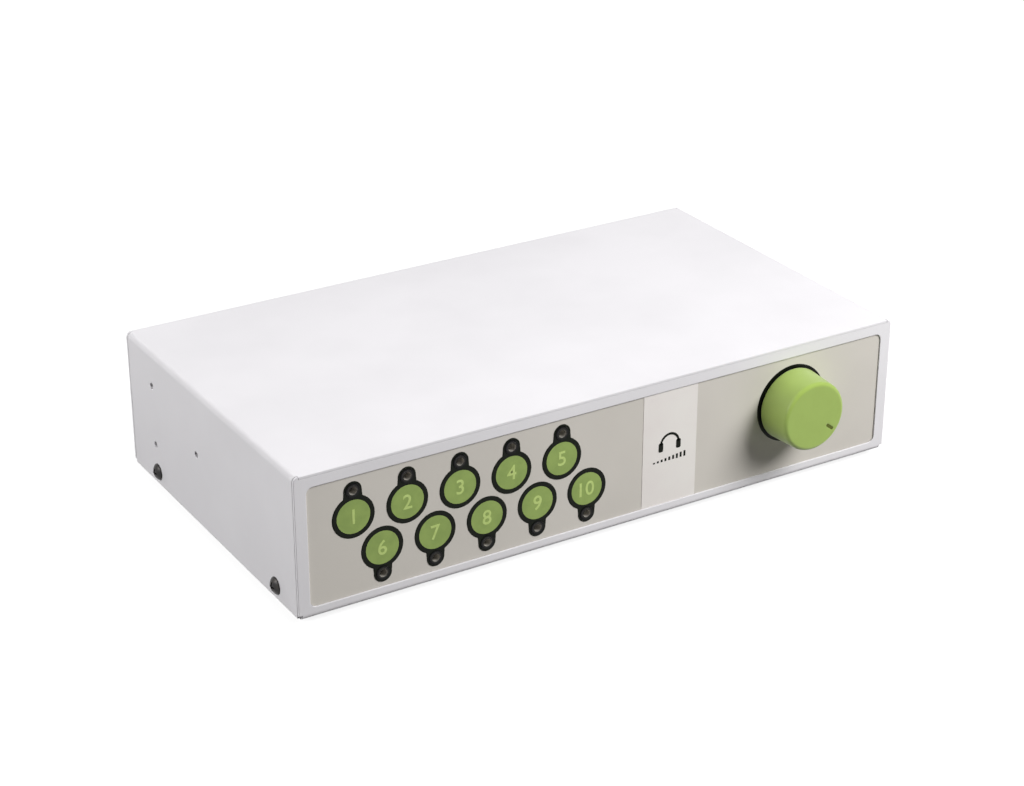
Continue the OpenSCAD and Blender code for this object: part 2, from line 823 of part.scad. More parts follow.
module jack_tip_springs() {
    color(brass) for (i = sockets) at_socket(i) jack_spring(-1);
}

module jack_ring_springs() {
    color(brass) for (i = sockets) at_socket(i) jack_spring(1);
}

module jack_board() {
    low_x = stud_x(0, -1) - board_edge;
    high_x = stud_x(1, 1) + board_edge;
    low_z = stud_z(1) - board_edge;
    high_z = stud_z(0) + board_edge;
    color(board_green) difference() {
        translate([low_x, panel_y + jack_back, low_z]) cube([high_x - low_x, board_t, high_z - low_z]);
        for (i = sockets, side = [-1, 1])
            at_socket(i) translate([0, side * spring_mid_r, 0]) drill(tail_hole_d, jack_back, board_t);
        at_studs() drill(small_hole_d, jack_back, board_t);
    }
}

// Studs welded to the back of the recess
module panel_studs() {
    color(zinc) at_studs() translate([0, 0, sheet_t])
        cylinder(d = small_screw_d, h = jack_len + board_t + small_nut_t + thread_end);
}

module stud_spacers() {
    color(bright_metal) at_studs() translate([0, 0, sheet_t])
        tube(spacer_d, small_hole_d, jack_len);
}

// Flat cable that runs to the rear and bends down: y0 and z0 are its start, y1 its drop and z1 its end
module bent_cable(width, y0, z0, y1, z1) {
    outer_r = cable_bend_r + ribbon_t;
    mid_r = cable_bend_r + ribbon_t / 2;
    translate([-width / 2, 0, 0]) rotate([90, 0, 90]) linear_extrude(width) {
        translate([y0, z0 - ribbon_t / 2]) square([y1 - mid_r - y0, ribbon_t]);
        translate([y1 - ribbon_t / 2, z1]) square([ribbon_t, z0 - mid_r - z1]);
        translate([y1 - mid_r, z0 - mid_r]) intersection() {
            difference() {
                circle(outer_r);
                circle(cable_bend_r);
            }
            square(outer_r + cut);
        }
    }
}

// Shrouded header, standing on the plane at 0
module header(cable_w) {
    w = cable_w + 2 * header_end;
    key_slot = [cable_w / 2, header_end, header_h];
    difference() {
        translate([-w / 2, -header_d / 2, 0]) cube([w, header_d, header_h]);
        translate([-key_slot[0] / 2, (header_d - header_end) / 2, header_h / 2]) cube(key_slot);
    }
}

module board_headers() {
    color(moulded_black) {
        in_front(ribbon_x, rows_z) translate([0, 0, jack_board_back]) header(ribbon_w);
        translate([ribbon_x, ribbon_y, board_top]) header(ribbon_w);
        translate([knob_x, pot_header_y, board_top]) header(pot_cable_w);
    }
}

module ribbon_cable() {
    color(cable_grey) translate([ribbon_x, 0, 0])
        bent_cable(ribbon_w, ribbon_start_y, rows_z, ribbon_y, board_top + header_h);
}

// Amplifier board

module amp_board() {
    color(board_green) difference() {
        translate([board_x0, board_y0, board_z])
            cube([board_x1 - board_x0, board_y1 - board_y0, board_t]);
        at_standoffs() drill(small_hole_d, board_z, board_t);
        for (side = [-1, 1]) line_leg_hole(side);
        inlet_pin_leg_hole();
        inlet_spring_leg_hole();
    }
}

// Six-sided standoff with a spigot in the floor of the case
module board_standoffs() {
    color(zinc) at_standoffs() difference() {
        union() {
            translate([0, 0, floor_z]) cylinder(d = standoff_af / cos(30), h = standoff_h, $fn = 6);
            translate([0, 0, base_z]) cylinder(d = spigot_d, h = 2 * sheet_t);
        }
        translate([0, 0, floor_z + sheet_t]) cylinder(d = small_thread_d, h = standoff_h);
    }
}

module board_screws() {
    color(zinc) at_standoffs() translate([0, 0, board_top])
        small_screw(board_t + standoff_h - 2 * sheet_t);
}

// Eight-legged chip, standing on the plane at 0
module chip() {
    leg = [chip_leg_w, chip_leg_d, chip_lift + chip_h / 2];
    translate([-chip_len / 2, -chip_w / 2, chip_lift]) cube([chip_len, chip_w, chip_h]);
    for (i = [0 : 3], side = [-1, 1])
        translate([centred(i, 4, lead_pitch) - leg[0] / 2, side * chip_w / 2 - leg[1] / 2, 0]) cube(leg);
}

module amp_chips() {
    color(moulded_black) translate([board_mid_x, board_y0 + chip_row, board_top])
        for (i = [0 : chip_count - 1]) translate([centred(i, chip_count, chip_pitch), 0, 0]) chip();
}

// Can with a rolled groove near its seal, standing on the plane at 0
module capacitor(d, h) {
    difference() {
        cylinder(d = d, h = h);
        rotate_extrude() translate([d / 2, cap_groove_z]) circle(cap_groove_r);
    }
}

module output_capacitors() {
    color(cap_blue) translate([board_mid_x, board_y0 + output_cap_row, board_top])
        for (i = sockets) translate([centred(i, socket_count, output_cap_pitch), 0, 0])
            capacitor(output_cap_d, output_cap_h);
}

module reservoir_capacitors() {
    color(cap_blue) for (i = [0, 1])
        translate([reservoir_x + i * reservoir_cap_pitch, reservoir_y, board_top])
            capacitor(reservoir_cap_d, reservoir_cap_h);
}

// Three-legged regulator with its tab against the heat sink
module voltage_regulator() {
    color(moulded_black) translate([inlet_x, sink_y, board_top]) {
        translate([-regulator_w / 2, -regulator_tab_t, regulator_lift])
            cube([regulator_w, regulator_tab_t, regulator_tab_h]);
        translate([-regulator_w / 2, -regulator_t, regulator_lift])
            cube([regulator_w, regulator_t, regulator_h]);
        for (i = [0 : 2]) translate([centred(i, 3, lead_pitch) - leg_t / 2, -regulator_t / 2, 0])
            cube([leg_t, leg_t, 2 * regulator_lift]);
    }
}

module heat_sink() {
    fin_pitch = (sink_w - sink_fin_t) / (sink_fins - 1);
    color(zinc) translate([inlet_x, sink_y, board_top]) linear_extrude(sink_h) {
        translate([-sink_w / 2, 0]) square([sink_w, sink_base_t]);
        for (i = [0 : sink_fins - 1]) translate([centred(i, sink_fins, fin_pitch) - sink_fin_t / 2, 0])
            square([sink_fin_t, sink_d]);
    }
}

// Volume potentiometer, drawn along Z with the front of the panel at 0 and the rear up

// Key that stops the potentiometer from turning in the panel
module bush_key(length, clear) {
    translate([-key_w / 2 - clear, key_r - key_t / 2 - clear, 0])
        cube([key_w + 2 * clear, key_t + 2 * clear, length]);
}

module pot_bush() {
    color(zinc) at_knob() difference() {
        union() {
            translate([0, 0, sheet_t]) cylinder(d = can_d, h = bush_plate_t);
            translate([0, 0, -bush_front]) cylinder(d = bush_d, h = bush_len + bush_plate_t / 2);
            bush_key(sheet_t + bush_plate_t / 2, 0);
        }
        drill(shaft_d + 2 * running_clear, -bush_front, bush_len + bush_plate_t);
    }
}

module pot_can() {
    color(bright_metal) at_knob() translate([0, 0, wafer_front]) difference() {
        cylinder(d = can_d, h = can_len);
        translate([0, 0, -cut]) cylinder(d = can_d - 2 * can_wall, h = can_len - can_wall + cut);
        translate([-tongue_w / 2 - pass_clear, -can_d, -cut])
            cube([tongue_w + 2 * pass_clear, can_d, wafer_t + pass_clear + cut]);
    }
}

module pot_wafer() {
    color(phenolic_brown) at_knob() translate([0, 0, wafer_front]) linear_extrude(wafer_t) difference() {
        union() {
            circle(d = wafer_d);
            translate([-tongue_w / 2, -can_d / 2 - tongue_rise])
                square([tongue_w, can_d / 2 + tongue_rise]);
        }
        circle(d = shaft_d + 2 * hole_clear);
    }
}

module pot_terminals() {
    length = tongue_rise - 2 * pass_clear - can_wall;
    color(bright_metal) at_knob() for (i = [0 : 2])
        translate([centred(i, 3, terminal_pitch) - terminal_w / 2, -terminal_z - length / 2, wafer_back])
            cube([terminal_w, length, terminal_t]);
}

module pot_cable() {
    start_y = panel_y + wafer_back + terminal_t;
    color(cable_grey) translate([knob_x, 0, 0])
        bent_cable(pot_cable_w, start_y, knob_z + terminal_z, pot_header_y, board_top + header_h);
}

module pot_washer() {
    color(bright_metal) at_knob() translate([0, 0, -washer_t])
        tube(washer_d, bush_d + 2 * hole_clear, washer_t);
}

module pot_nut() {
    color(zinc) at_knob() translate([0, 0, -washer_t - bush_nut_t])
        hex_nut(bush_nut_af, bush_nut_t, bush_d + 2 * thread_clear);
}

// Turning pieces of the volume control

module pot_shaft() {
    color(bright_metal) at_knob() difference() {
        union() {
            translate([0, 0, -hub_start]) cylinder(d = shaft_d, h = hub_start + wiper_back);
            translate([0, 0, -shaft_front]) linear_extrude(shaft_front - hub_start)
                rotate(pointer_angle) mirror([0, 1]) flatted_circle(shaft_d, shaft_flat);
        }
        translate([0, 0, -clip_front]) tube(2 * shaft_d, shaft_d - 2 * clip_groove, clip_t);
    }
}

// Open spring clip in the groove of the shaft, in front of the bush
module shaft_clip() {
    mouth = shaft_d - 2 * clip_groove;
    color(bright_metal) at_knob() translate([0, 0, -clip_front]) linear_extrude(clip_t) difference() {
        circle(d = clip_d);
        circle(d = mouth + 2 * seat_clear);
        translate([-mouth / 2, 0]) square([mouth, clip_d]);
    }
}

// Wiper hub with the arm that sweeps the resistive track
module pot_wiper() {
    arm_r = wafer_d / 2 - wafer_t;
    color(phenolic_brown) at_knob() translate([0, 0, wiper_front]) linear_extrude(wiper_t) difference() {
        union() {
            circle(d = wiper_d);
            rotate(pointer_angle) translate([-wiper_arm_w / 2, -arm_r]) square([wiper_arm_w, arm_r]);
        }
        circle(d = shaft_d + 2 * seat_clear);
    }
}

// Outline of the knob from its axis: base at 0, face at the top
module knob_profile() {
    face_r = knob_face_d / 2;
    polygon([
        [0, 0], [knob_base_d / 2, 0], [face_r, knob_len - knob_edge_r],
        [face_r - knob_edge_r, knob_len], [0, knob_len]
    ]);
    translate([face_r - knob_edge_r, knob_len - knob_edge_r]) circle(knob_edge_r);
}

module pointer_outline(clear) {
    translate([0, pointer_offset]) {
        square([pointer_w + 2 * clear, pointer_len - pointer_w], center = true);
        for (end = [-1, 1]) translate([0, end * (pointer_len - pointer_w) / 2])
            circle(d = pointer_w + 2 * clear);
    }
}

// Knob pieces are drawn with the knob's base at 0 and its face up, and the pointer straight up
module at_knob_base() {
    at_knob() translate([0, 0, -knob_base]) rotate(pointer_angle) rotate([180, 0, 0]) children();
}

module volume_knob() {
    cavity_d = knob_face_d - 2 * knob_wall;
    color(knob_green) at_knob_base() difference() {
        rotate_extrude() knob_profile();
        difference() {
            translate([0, 0, -cut]) cylinder(d = cavity_d, h = knob_len - knob_face_t + cut);
            translate([0, 0, hub_z]) linear_extrude(knob_len) {
                circle(d = knob_hub_d);
                for (i = [0 : rib_count - 1]) rotate(i * 360 / rib_count) translate([0, -rib_t / 2])
                    square([cavity_d, rib_t]);
            }
        }
        translate([0, 0, hub_z - cut]) cylinder(d = insert_d + 2 * seat_clear, h = insert_len + cut);
        translate([0, 0, knob_len - pointer_depth]) linear_extrude(pointer_depth + cut)
            pointer_outline(seat_clear);
    }
}

module knob_insert() {
    color(brass) at_knob_base() translate([0, 0, hub_z]) linear_extrude(insert_len) difference() {
        circle(d = insert_d);
        flatted_circle(shaft_d + 2 * seat_clear, shaft_flat + 2 * seat_clear);
    }
}

module knob_pointer() {
    color(print_black) at_knob_base() translate([0, 0, knob_len - pointer_depth])
        linear_extrude(pointer_depth) pointer_outline(0);
}

// Rear connectors, drawn along Z with the outside of the rear panel at 0 and the inside up

module line_leg_hole(side) {
    in_rear(line_x, line_z) translate([side * spring_mid_r, 0, line_leg_z + leg_w / 2])
        rotate([90, 0, 0]) cylinder(d = leg_hole_d, h = 2 * jack_w);
}

module line_in_jack() {
    seat = spring_seat_r + pass_clear;
    leg_slot = [spring_t + 2 * pass_clear, jack_w, leg_w + 2 * pass_clear];
    color(moulded_black) in_rear(line_x, line_z) difference() {
        jack_shell(line_bush_proud);
        translate([-seat, -spring_w / 2 - pass_clear, jack_back - spring_len])
            cube([2 * seat, spring_w + 2 * pass_clear, spring_len - jack_back_wall]);
        for (side = [-1, 1]) translate([side * spring_mid_r - leg_slot[0] / 2, 0, line_leg_z - pass_clear])
            translate([0, -jack_w, 0]) cube(leg_slot);
    }
}

// Two leaf contacts beside the bore, each with a leg down through the amplifier board
module line_in_contacts() {
    color(brass) in_rear(line_x, line_z) for (side = [-1, 1]) translate([side * spring_mid_r, 0, 0]) {
        translate([-spring_t / 2, -spring_w / 2, jack_back - spring_len + pass_clear])
            cube([spring_t, spring_w, spring_len - jack_back_wall - 2 * pass_clear]);
        translate([-spring_t / 2, -jack_w / 2 - board_t - leg_proud, line_leg_z])
            cube([spring_t, jack_w / 2 + board_t + leg_proud, leg_w]);
    }
}

module line_in_nut() {
    color(bright_metal) in_rear(line_x, line_z) translate([0, 0, -line_nut_t])
        hex_nut(line_nut_af, line_nut_t, nose_d + 2 * thread_clear);
}

module inlet_pin_leg_hole() {
    in_rear(inlet_x, inlet_z) translate([0, 0, sheet_t + inlet_len + leg_t / 2])
        rotate([90, 0, 0]) cylinder(d = leg_hole_d, h = 2 * inlet_h);
}

module inlet_spring_leg_hole() {
    in_rear(inlet_x, inlet_z) translate([0, 0, inlet_floor - leg_w + leg_t / 2])
        rotate([90, 0, 0]) cylinder(d = leg_hole_d, h = 2 * inlet_h);
}

module dc_inlet() {
    groove_t = spring_t + inlet_bore_d / 2;
    color(moulded_black) in_rear(inlet_x, inlet_z) difference() {
        union() {
            translate([0, 0, -inlet_proud]) cylinder(d = inlet_nose_d, h = inlet_proud + 2 * sheet_t);
            translate([-inlet_w / 2, -inlet_h / 2, sheet_t]) cube([inlet_w, inlet_h, inlet_len]);
        }
        translate([0, 0, -inlet_proud - cut]) cylinder(d = inlet_bore_d, h = inlet_depth + cut);
        cylinder(d = inlet_tail_d + 2 * seat_clear, h = 2 * inlet_len);
        translate([-spring_w / 2 - pass_clear, -groove_t, sheet_t])
            cube([spring_w + 2 * pass_clear, groove_t, inlet_floor - sheet_t]);
        translate([-leg_w / 2 - pass_clear, -inlet_h, inlet_floor - leg_w - pass_clear])
            cube([leg_w + 2 * pass_clear, inlet_h, leg_w + pass_clear]);
    }
}

// Centre pin with a shoulder on the floor of the bore and a leg down through the amplifier board
module dc_inlet_pin() {
    tip = inlet_pin_setback - inlet_proud;
    housing_back = sheet_t + inlet_len;
    color(bright_metal) in_rear(inlet_x, inlet_z) {
        translate([0, 0, tip]) cylinder(d = inlet_pin_d, h = inlet_floor - tip);
        translate([0, 0, tip]) cylinder(d = inlet_tail_d, h = housing_back + leg_t - tip);
        translate([-leg_w / 2, -inlet_h / 2 - board_t - leg_proud, housing_back])
            cube([leg_w, inlet_h / 2 + board_t + leg_proud, leg_t]);
    }
}

// Leaf that presses on the outside of the power plug, with a leg down through the amplifier board
module dc_inlet_spring() {
    color(brass) in_rear(inlet_x, inlet_z) translate([0, -inlet_bore_d / 2, 0]) {
        translate([-spring_w / 2, -spring_t, sheet_t + pass_clear])
            cube([spring_w, spring_t, inlet_floor - sheet_t - 2 * pass_clear]);
        translate([-leg_w / 2, -(inlet_h - inlet_bore_d) / 2 - board_t - leg_proud, inlet_floor - leg_w])
            cube([leg_w, (inlet_h - inlet_bore_d) / 2 + board_t + leg_proud, leg_t]);
    }
}

top_cover();
chassis();
cover_screws();
cover_nuts();
foot(-1, -1);  // foot_front_left
foot(1, -1);  // foot_front_right
foot(-1, 1);  // foot_rear_left
foot(1, 1);  // foot_rear_right
foot_screws();
small_nuts();
front_overlay();
printed_outlines();
printed_discs();
printed_strip();
for (i = sockets) headphone_jack(i);
socket_ferrules();
jack_tip_springs();
jack_ring_springs();
jack_board();
panel_studs();
stud_spacers();
board_headers();
ribbon_cable();
amp_board();
board_standoffs();
board_screws();
amp_chips();
output_capacitors();
reservoir_capacitors();
voltage_regulator();
heat_sink();
pot_bush();
pot_can();
pot_wafer();
pot_terminals();
pot_washer();
pot_nut();
pot_cable();
pot_shaft();
shaft_clip();
pot_wiper();
volume_knob();
knob_insert();
knob_pointer();
line_in_jack();
line_in_contacts();
line_in_nut();
dc_inlet();
dc_inlet_pin();
dc_inlet_spring();
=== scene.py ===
"""Looks of a ten-way headphone splitter box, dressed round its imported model.

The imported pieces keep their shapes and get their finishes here. The spread ink of the outlines, the numerals,
the sign on the pale strip and the thread of the line-in bush are added, and a floor, lights and a camera set
the box as a catalogue shot. Lengths in the classes are in millimetres unless they say metres.
"""

from __future__ import annotations

import json
import logging
import math
from dataclasses import dataclass, field
from enum import Enum

import bpy
from mathutils import Matrix, Vector

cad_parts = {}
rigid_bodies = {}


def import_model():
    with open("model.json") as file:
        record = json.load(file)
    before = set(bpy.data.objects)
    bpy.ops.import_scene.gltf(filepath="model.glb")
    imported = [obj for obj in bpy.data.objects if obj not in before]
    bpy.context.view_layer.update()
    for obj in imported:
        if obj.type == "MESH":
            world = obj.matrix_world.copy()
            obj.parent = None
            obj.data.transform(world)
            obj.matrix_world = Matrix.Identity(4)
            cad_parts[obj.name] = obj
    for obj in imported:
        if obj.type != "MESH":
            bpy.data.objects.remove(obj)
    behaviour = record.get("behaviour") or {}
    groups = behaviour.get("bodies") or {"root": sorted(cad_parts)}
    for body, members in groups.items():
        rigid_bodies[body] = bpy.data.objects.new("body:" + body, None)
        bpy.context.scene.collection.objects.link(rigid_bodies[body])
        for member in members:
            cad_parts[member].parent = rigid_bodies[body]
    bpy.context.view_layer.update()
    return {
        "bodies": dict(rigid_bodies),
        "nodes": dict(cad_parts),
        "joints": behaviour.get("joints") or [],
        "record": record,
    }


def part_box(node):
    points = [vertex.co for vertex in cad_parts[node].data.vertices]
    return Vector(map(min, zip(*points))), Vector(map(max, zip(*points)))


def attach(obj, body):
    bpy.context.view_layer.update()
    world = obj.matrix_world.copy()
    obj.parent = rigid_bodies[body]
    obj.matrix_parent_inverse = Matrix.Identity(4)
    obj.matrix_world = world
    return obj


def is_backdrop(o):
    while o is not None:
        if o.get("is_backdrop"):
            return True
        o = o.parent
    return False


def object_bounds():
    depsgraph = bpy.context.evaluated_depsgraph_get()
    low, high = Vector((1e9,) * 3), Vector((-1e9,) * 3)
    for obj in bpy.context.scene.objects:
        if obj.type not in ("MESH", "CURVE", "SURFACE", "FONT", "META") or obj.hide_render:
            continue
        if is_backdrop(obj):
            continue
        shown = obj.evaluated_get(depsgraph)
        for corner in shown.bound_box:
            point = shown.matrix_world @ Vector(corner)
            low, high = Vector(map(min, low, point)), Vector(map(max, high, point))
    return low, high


LOG = logging.getLogger("splitter_box")
MM = 0.001
# Points closer than this are one point.
MERGE_MM = 0.0005
# Least cosine at which an edge counts as lying along an axis.
ALONG_AXIS = 0.9
# Distances from a cell's middle between which a fleck fades, as shares of a cell.
FLECK_EDGE = (0.12, 0.34)
# Levels of the noise between which one colour fades into the other.
CLOUD_EDGE = (0.36, 0.64)
# Levels of the grain between which the roughness changes.
GRAIN_SPREAD = (0.3, 0.7)
# Rays that round an edge for the light.
EDGE_SAMPLES = 6
# Angle in radians that the wave texture turns through in one unit, at a scale of one.
WAVE_RATE = 20
# The mix node's colour sockets, which share their names with its other sockets.
MIX_FIRST, MIX_SECOND, MIX_RESULT = 6, 7, 2


class Patch(Enum):
    """What the patches of a finish's second colour look like."""

    CLOUDS = "soft clouds"
    FLECKS = "small round flecks"
    STREAKS = "streaks along one direction"


class Along(Enum):
    """The direction that streaks or ribs follow, as the pattern's stretch on each axis."""

    EVEN = (1.0, 1.0, 1.0)
    WIDTH = (0.06, 1.0, 1.0)
    DEPTH = (1.0, 0.06, 1.0)
    HEIGHT = (1.0, 1.0, 0.06)


def linear_colour(code: str) -> tuple[float, float, float, float]:
    """Turns an sRGB hex colour into the linear colour that shaders take.

    Args:
        code: Colour such as "#F1EFF2".

    Returns:
        Linear red, green, blue and an alpha of one.
    """
    channels = [int(code[start:start + 2], 16) / 255 for start in (1, 3, 5)]
    red, green, blue = (
        value / 12.92 if value <= 0.04045 else ((value + 0.055) / 1.055) ** 2.4 for value in channels
    )
    return red, green, blue, 1.0


def add_node(
    tree: bpy.types.NodeTree,
    kind: str,
    settings: dict[str | int, object] | None = None,
    links: dict[str | int, bpy.types.NodeSocket] | None = None,
) -> bpy.types.Node:
    """Adds one node with its settings and links.

    Args:
        tree: Node tree that takes the node.
        kind: Blender's name for the type of node.
        settings: Values by name or number of the input socket, or by name of the node's own property.
        links: Output sockets by name or number of the input that they feed.

    Returns:
        The new node.
    """
    node = tree.nodes.new(kind)
    for name, value in (settings or {}).items():
        if isinstance(name, int) or name in node.inputs:
            node.inputs[name].default_value = value
        else:
            setattr(node, name, value)
    for name, socket in (links or {}).items():
        tree.links.new(socket, node.inputs[name])
    return node


@dataclass(frozen=True)
class Finish:
    """How one material looks: two colours in patches, its gloss and its grain.

    Attributes:
        name: Common name of the material and how its surface was made.
        colour: Main colour as sRGB hex.
        patch_colour: Colour of the patches as sRGB hex.
        patch_mm: Size of one patch.
        grain_mm: Size of one grain of the surface relief.
        grain_depth_mm: Height of the surface relief.
        roughness: Least and greatest roughness over the surface.
        metallic: One for bare metal, less where a dark skin covers it and nought for anything else.
        ior: Index of refraction, left at Blender's default on metals.
        coat: Weight of a clear coat.
        specular: Level of the mirror share, a half as Blender starts and less for a matt skin.
        sheen: Weight of the pale bloom that a soft skin shows at a low angle.
        patch: Kind of patches.
        along: Direction of streaks.
        edge_mm: Radius that the light sees on sharp edges, nought for none.
    """

    name: str
    colour: str
    patch_colour: str
    patch_mm: float
    grain_mm: float
    grain_depth_mm: float
    roughness: tuple[float, float]
    metallic: float = 0.0
    ior: float = 1.5
    coat: float = 0.0
    specular: float = 0.5
    sheen: float = 0.0
    patch: Patch = Patch.CLOUDS
    along: Along = Along.EVEN
    edge_mm: float = 0.0

    def place(self, tree: bpy.types.NodeTree) -> bpy.types.NodeSocket:
        """Gives the pattern's coordinates, stretched along the finish's direction.

        Args:
            tree: Node tree of the material.

        Returns:
            Socket of the coordinates in metres.
        """
        where = add_node(tree, "ShaderNodeTexCoord")
        if self.along is Along.EVEN:
            return where.outputs["Object"]
        stretched = add_node(
            tree, "ShaderNodeMapping", {"Scale": self.along.value}, {"Vector": where.outputs["Object"]}
        )
        return stretched.outputs["Vector"]

    def patches(self, tree: bpy.types.NodeTree, place: bpy.types.NodeSocket) -> bpy.types.NodeSocket:
        """Gives how much of the patch colour shows, from nought to one.

        Args:
            tree: Node tree of the material.
            place: Socket of the coordinates.

        Returns:
            Socket of the share of the patch colour.
        """
        scale = 1 / (self.patch_mm * MM)
        if self.patch is Patch.FLECKS:
            cells = add_node(tree, "ShaderNodeTexVoronoi", {"Scale": scale}, {"Vector": place})
            spread = add_node(
                tree,
                "ShaderNodeMapRange",
                {"From Min": FLECK_EDGE[0], "From Max": FLECK_EDGE[1], "To Min": 1.0, "To Max": 0.0},
                {"Value": cells.outputs["Distance"]},
            )
            return spread.outputs["Result"]
        clouds = add_node(
            tree, "ShaderNodeTexNoise", {"Scale": scale, "Detail": 3.0, "Roughness": 0.55}, {"Vector": place}
        )
        spread = add_node(
            tree,
            "ShaderNodeMapRange",
            {"From Min": CLOUD_EDGE[0], "From Max": CLOUD_EDGE[1]},
            {"Value": clouds.outputs["Fac"]},
        )
        return spread.outputs["Result"]

    def colours(self, tree: bpy.types.NodeTree, place: bpy.types.NodeSocket) -> bpy.types.NodeSocket:
        """Mixes the finish's colours over the surface.

        Args:
            tree: Node tree of the material.
            place: Socket of the coordinates.

        Returns:
            Socket of the colour.
        """
        return self.mix(tree, self.patches(tree, place), self.colour, self.patch_colour)

    def mix(
        self, tree: bpy.types.NodeTree, share: bpy.types.NodeSocket, first: str, second: str
    ) -> bpy.types.NodeSocket:
        """Blends two colours by a share that varies over the surface.

        Args:
            tree: Node tree of the material.
            share: Socket of the share of the second colour.
            first: Colour as sRGB hex where the share is nought.
            second: Colour as sRGB hex where the share is one.

        Returns:
            Socket of the blended colour.
        """
        ramp = add_node(tree, "ShaderNodeValToRGB", {}, {"Fac": share})
        ramp.color_ramp.elements[0].color = linear_colour(first)
        ramp.color_ramp.elements[1].color = linear_colour(second)
        return ramp.outputs["Color"]

    def relief(self, tree: bpy.types.NodeTree, place: bpy.types.NodeSocket) -> bpy.types.NodeSocket:
        """Gives the height of the surface relief, from nought to one.

        Args:
            tree: Node tree of the material.
            place: Socket of the coordinates.

        Returns:
            Socket of the height.
        """
        grain = add_node(
            tree,
            "ShaderNodeTexNoise",
            {"Scale": 1 / (self.grain_mm * MM), "Detail": 2.0, "Roughness": 0.5},
            {"Vector": place},
        )
        return grain.outputs["Fac"]

    def material(self) -> bpy.types.Material:
        """Makes the material with its nodes.

        Returns:
            The finished material.
        """
        material = bpy.data.materials.new(self.name)
        material.use_nodes = True
        tree = material.node_tree
        tree.nodes.clear()
        place = self.place(tree)
        height = self.relief(tree, place)
        gloss = add_node(
            tree,
            "ShaderNodeMapRange",
            {
                "From Min": GRAIN_SPREAD[0],
                "From Max": GRAIN_SPREAD[1],
                "To Min": self.roughness[0],
                "To Max": self.roughness[1],
            },
            {"Value": height},
        )
        bump = add_node(
            tree,
            "ShaderNodeBump",
            {"Strength": 1.0, "Distance": self.grain_depth_mm * MM},
            {"Height": height},
        )
        if self.edge_mm:
            edges = add_node(tree, "ShaderNodeBevel", {"samples": EDGE_SAMPLES, "Radius": self.edge_mm * MM})
            tree.links.new(edges.outputs["Normal"], bump.inputs["Normal"])
        settings = {
            "Metallic": self.metallic,
            "Coat Weight": self.coat,
            "Specular IOR Level": self.specular,
            "Sheen Weight": self.sheen,
        }
        if not self.metallic:
            settings["IOR"] = self.ior
        shader = add_node(
            tree,
            "ShaderNodeBsdfPrincipled",
            settings,
            {
                "Base Color": self.colours(tree, place),
                "Roughness": gloss.outputs["Result"],
                "Normal": bump.outputs["Normal"],
            },
        )
        add_node(tree, "ShaderNodeOutputMaterial", {}, {"Surface": shader.outputs["BSDF"]})
        return material


@dataclass(frozen=True)
class ResistBoard(Finish):
    """Glass-epoxy board under solder resist, with copper tracks that show through it.

    Attributes:
        track_mm: Spacing of the tracks.
        track_share: Width of a track as a share of the spacing.
        run_share: Length of a straight run as a share of the spacing.
    """

    track_mm: float = 2.54
    track_share: float = 0.09
    run_share: float = 6.0

    def colours(self, tree: bpy.types.NodeTree, place: bpy.types.NodeSocket) -> bpy.types.NodeSocket:
        """Lays paler tracks in long bricks over the green resist.

        Args:
            tree: Node tree of the material.
            place: Socket of the coordinates.

        Returns:
            Socket of the colour.
        """
        tracks = add_node(
            tree,
            "ShaderNodeTexBrick",
            {
                "Scale": 1 / (self.track_mm * MM),
                "Color1": linear_colour(self.colour),
                "Color2": linear_colour(self.colour),
                "Mortar": linear_colour(self.patch_colour),
                "Mortar Size": self.track_share,
                "Brick Width": self.run_share,
                "Row Height": 1.0,
            },
            {"Vector": place},
        )
        return tracks.outputs["Color"]


@dataclass(frozen=True)
class RibbedSheath(Finish):
    """Ribbon cable, whose wires stand up as ribs side by side.

    Attributes:
        wire_mm: Spacing of the wires.
    """

    wire_mm: float = 1.27

    def relief(self, tree: bpy.types.NodeTree, place: bpy.types.NodeSocket) -> bpy.types.NodeSocket:
        """Raises one rib for each wire, side by side across the cable.

        Args:
            tree: Node tree of the material.
            place: Socket of the coordinates.

        Returns:
            Socket of the height.
        """
        ribs = add_node(
            tree,
            "ShaderNodeTexWave",
            {
                "wave_type": "BANDS",
                "bands_direction": "X",
                "Scale": 2 * math.pi / (WAVE_RATE * self.wire_mm * MM),
                "Distortion": 0.0,
            },
            {"Vector": place},
        )
        return ribs.outputs["Fac"]


@dataclass(frozen=True)
class DarkRing(Finish):
    """Black-plated ring whose bore the plugs have rubbed bright.

    Attributes:
        bore_colour: Colour of the bright bore as sRGB hex.
        face_edge: How far a surface faces forward where the bore ends and where the face begins.
    """

    bore_colour: str = "#CECAC2"
    face_edge: tuple[float, float] = (0.4, 0.6)

    def colours(self, tree: bpy.types.NodeTree, place: bpy.types.NodeSocket) -> bpy.types.NodeSocket:
        """Shows the dark plating on the ring's face and the bright metal round the bore.

        Args:
            tree: Node tree of the material.
            place: Socket of the coordinates.

        Returns:
            Socket of the colour.
        """
        faces = add_node(tree, "ShaderNodeNewGeometry")
        split = add_node(tree, "ShaderNodeSeparateXYZ", {}, {"Vector": faces.outputs["True Normal"]})
        along = add_node(tree, "ShaderNodeMath", {"operation": "ABSOLUTE"}, {0: split.outputs["Y"]})
        face = add_node(
            tree,
            "ShaderNodeMapRange",
            {"From Min": self.face_edge[0], "From Max": self.face_edge[1]},
            {"Value": along.outputs["Value"]},
        )
        plating = super().colours(tree, place)
        ring = add_node(
            tree,
            "ShaderNodeMix",
            {"data_type": "RGBA", MIX_FIRST: linear_colour(self.bore_colour)},
            {0: face.outputs["Result"], MIX_SECOND: plating},
        )
        return ring.outputs[MIX_RESULT]


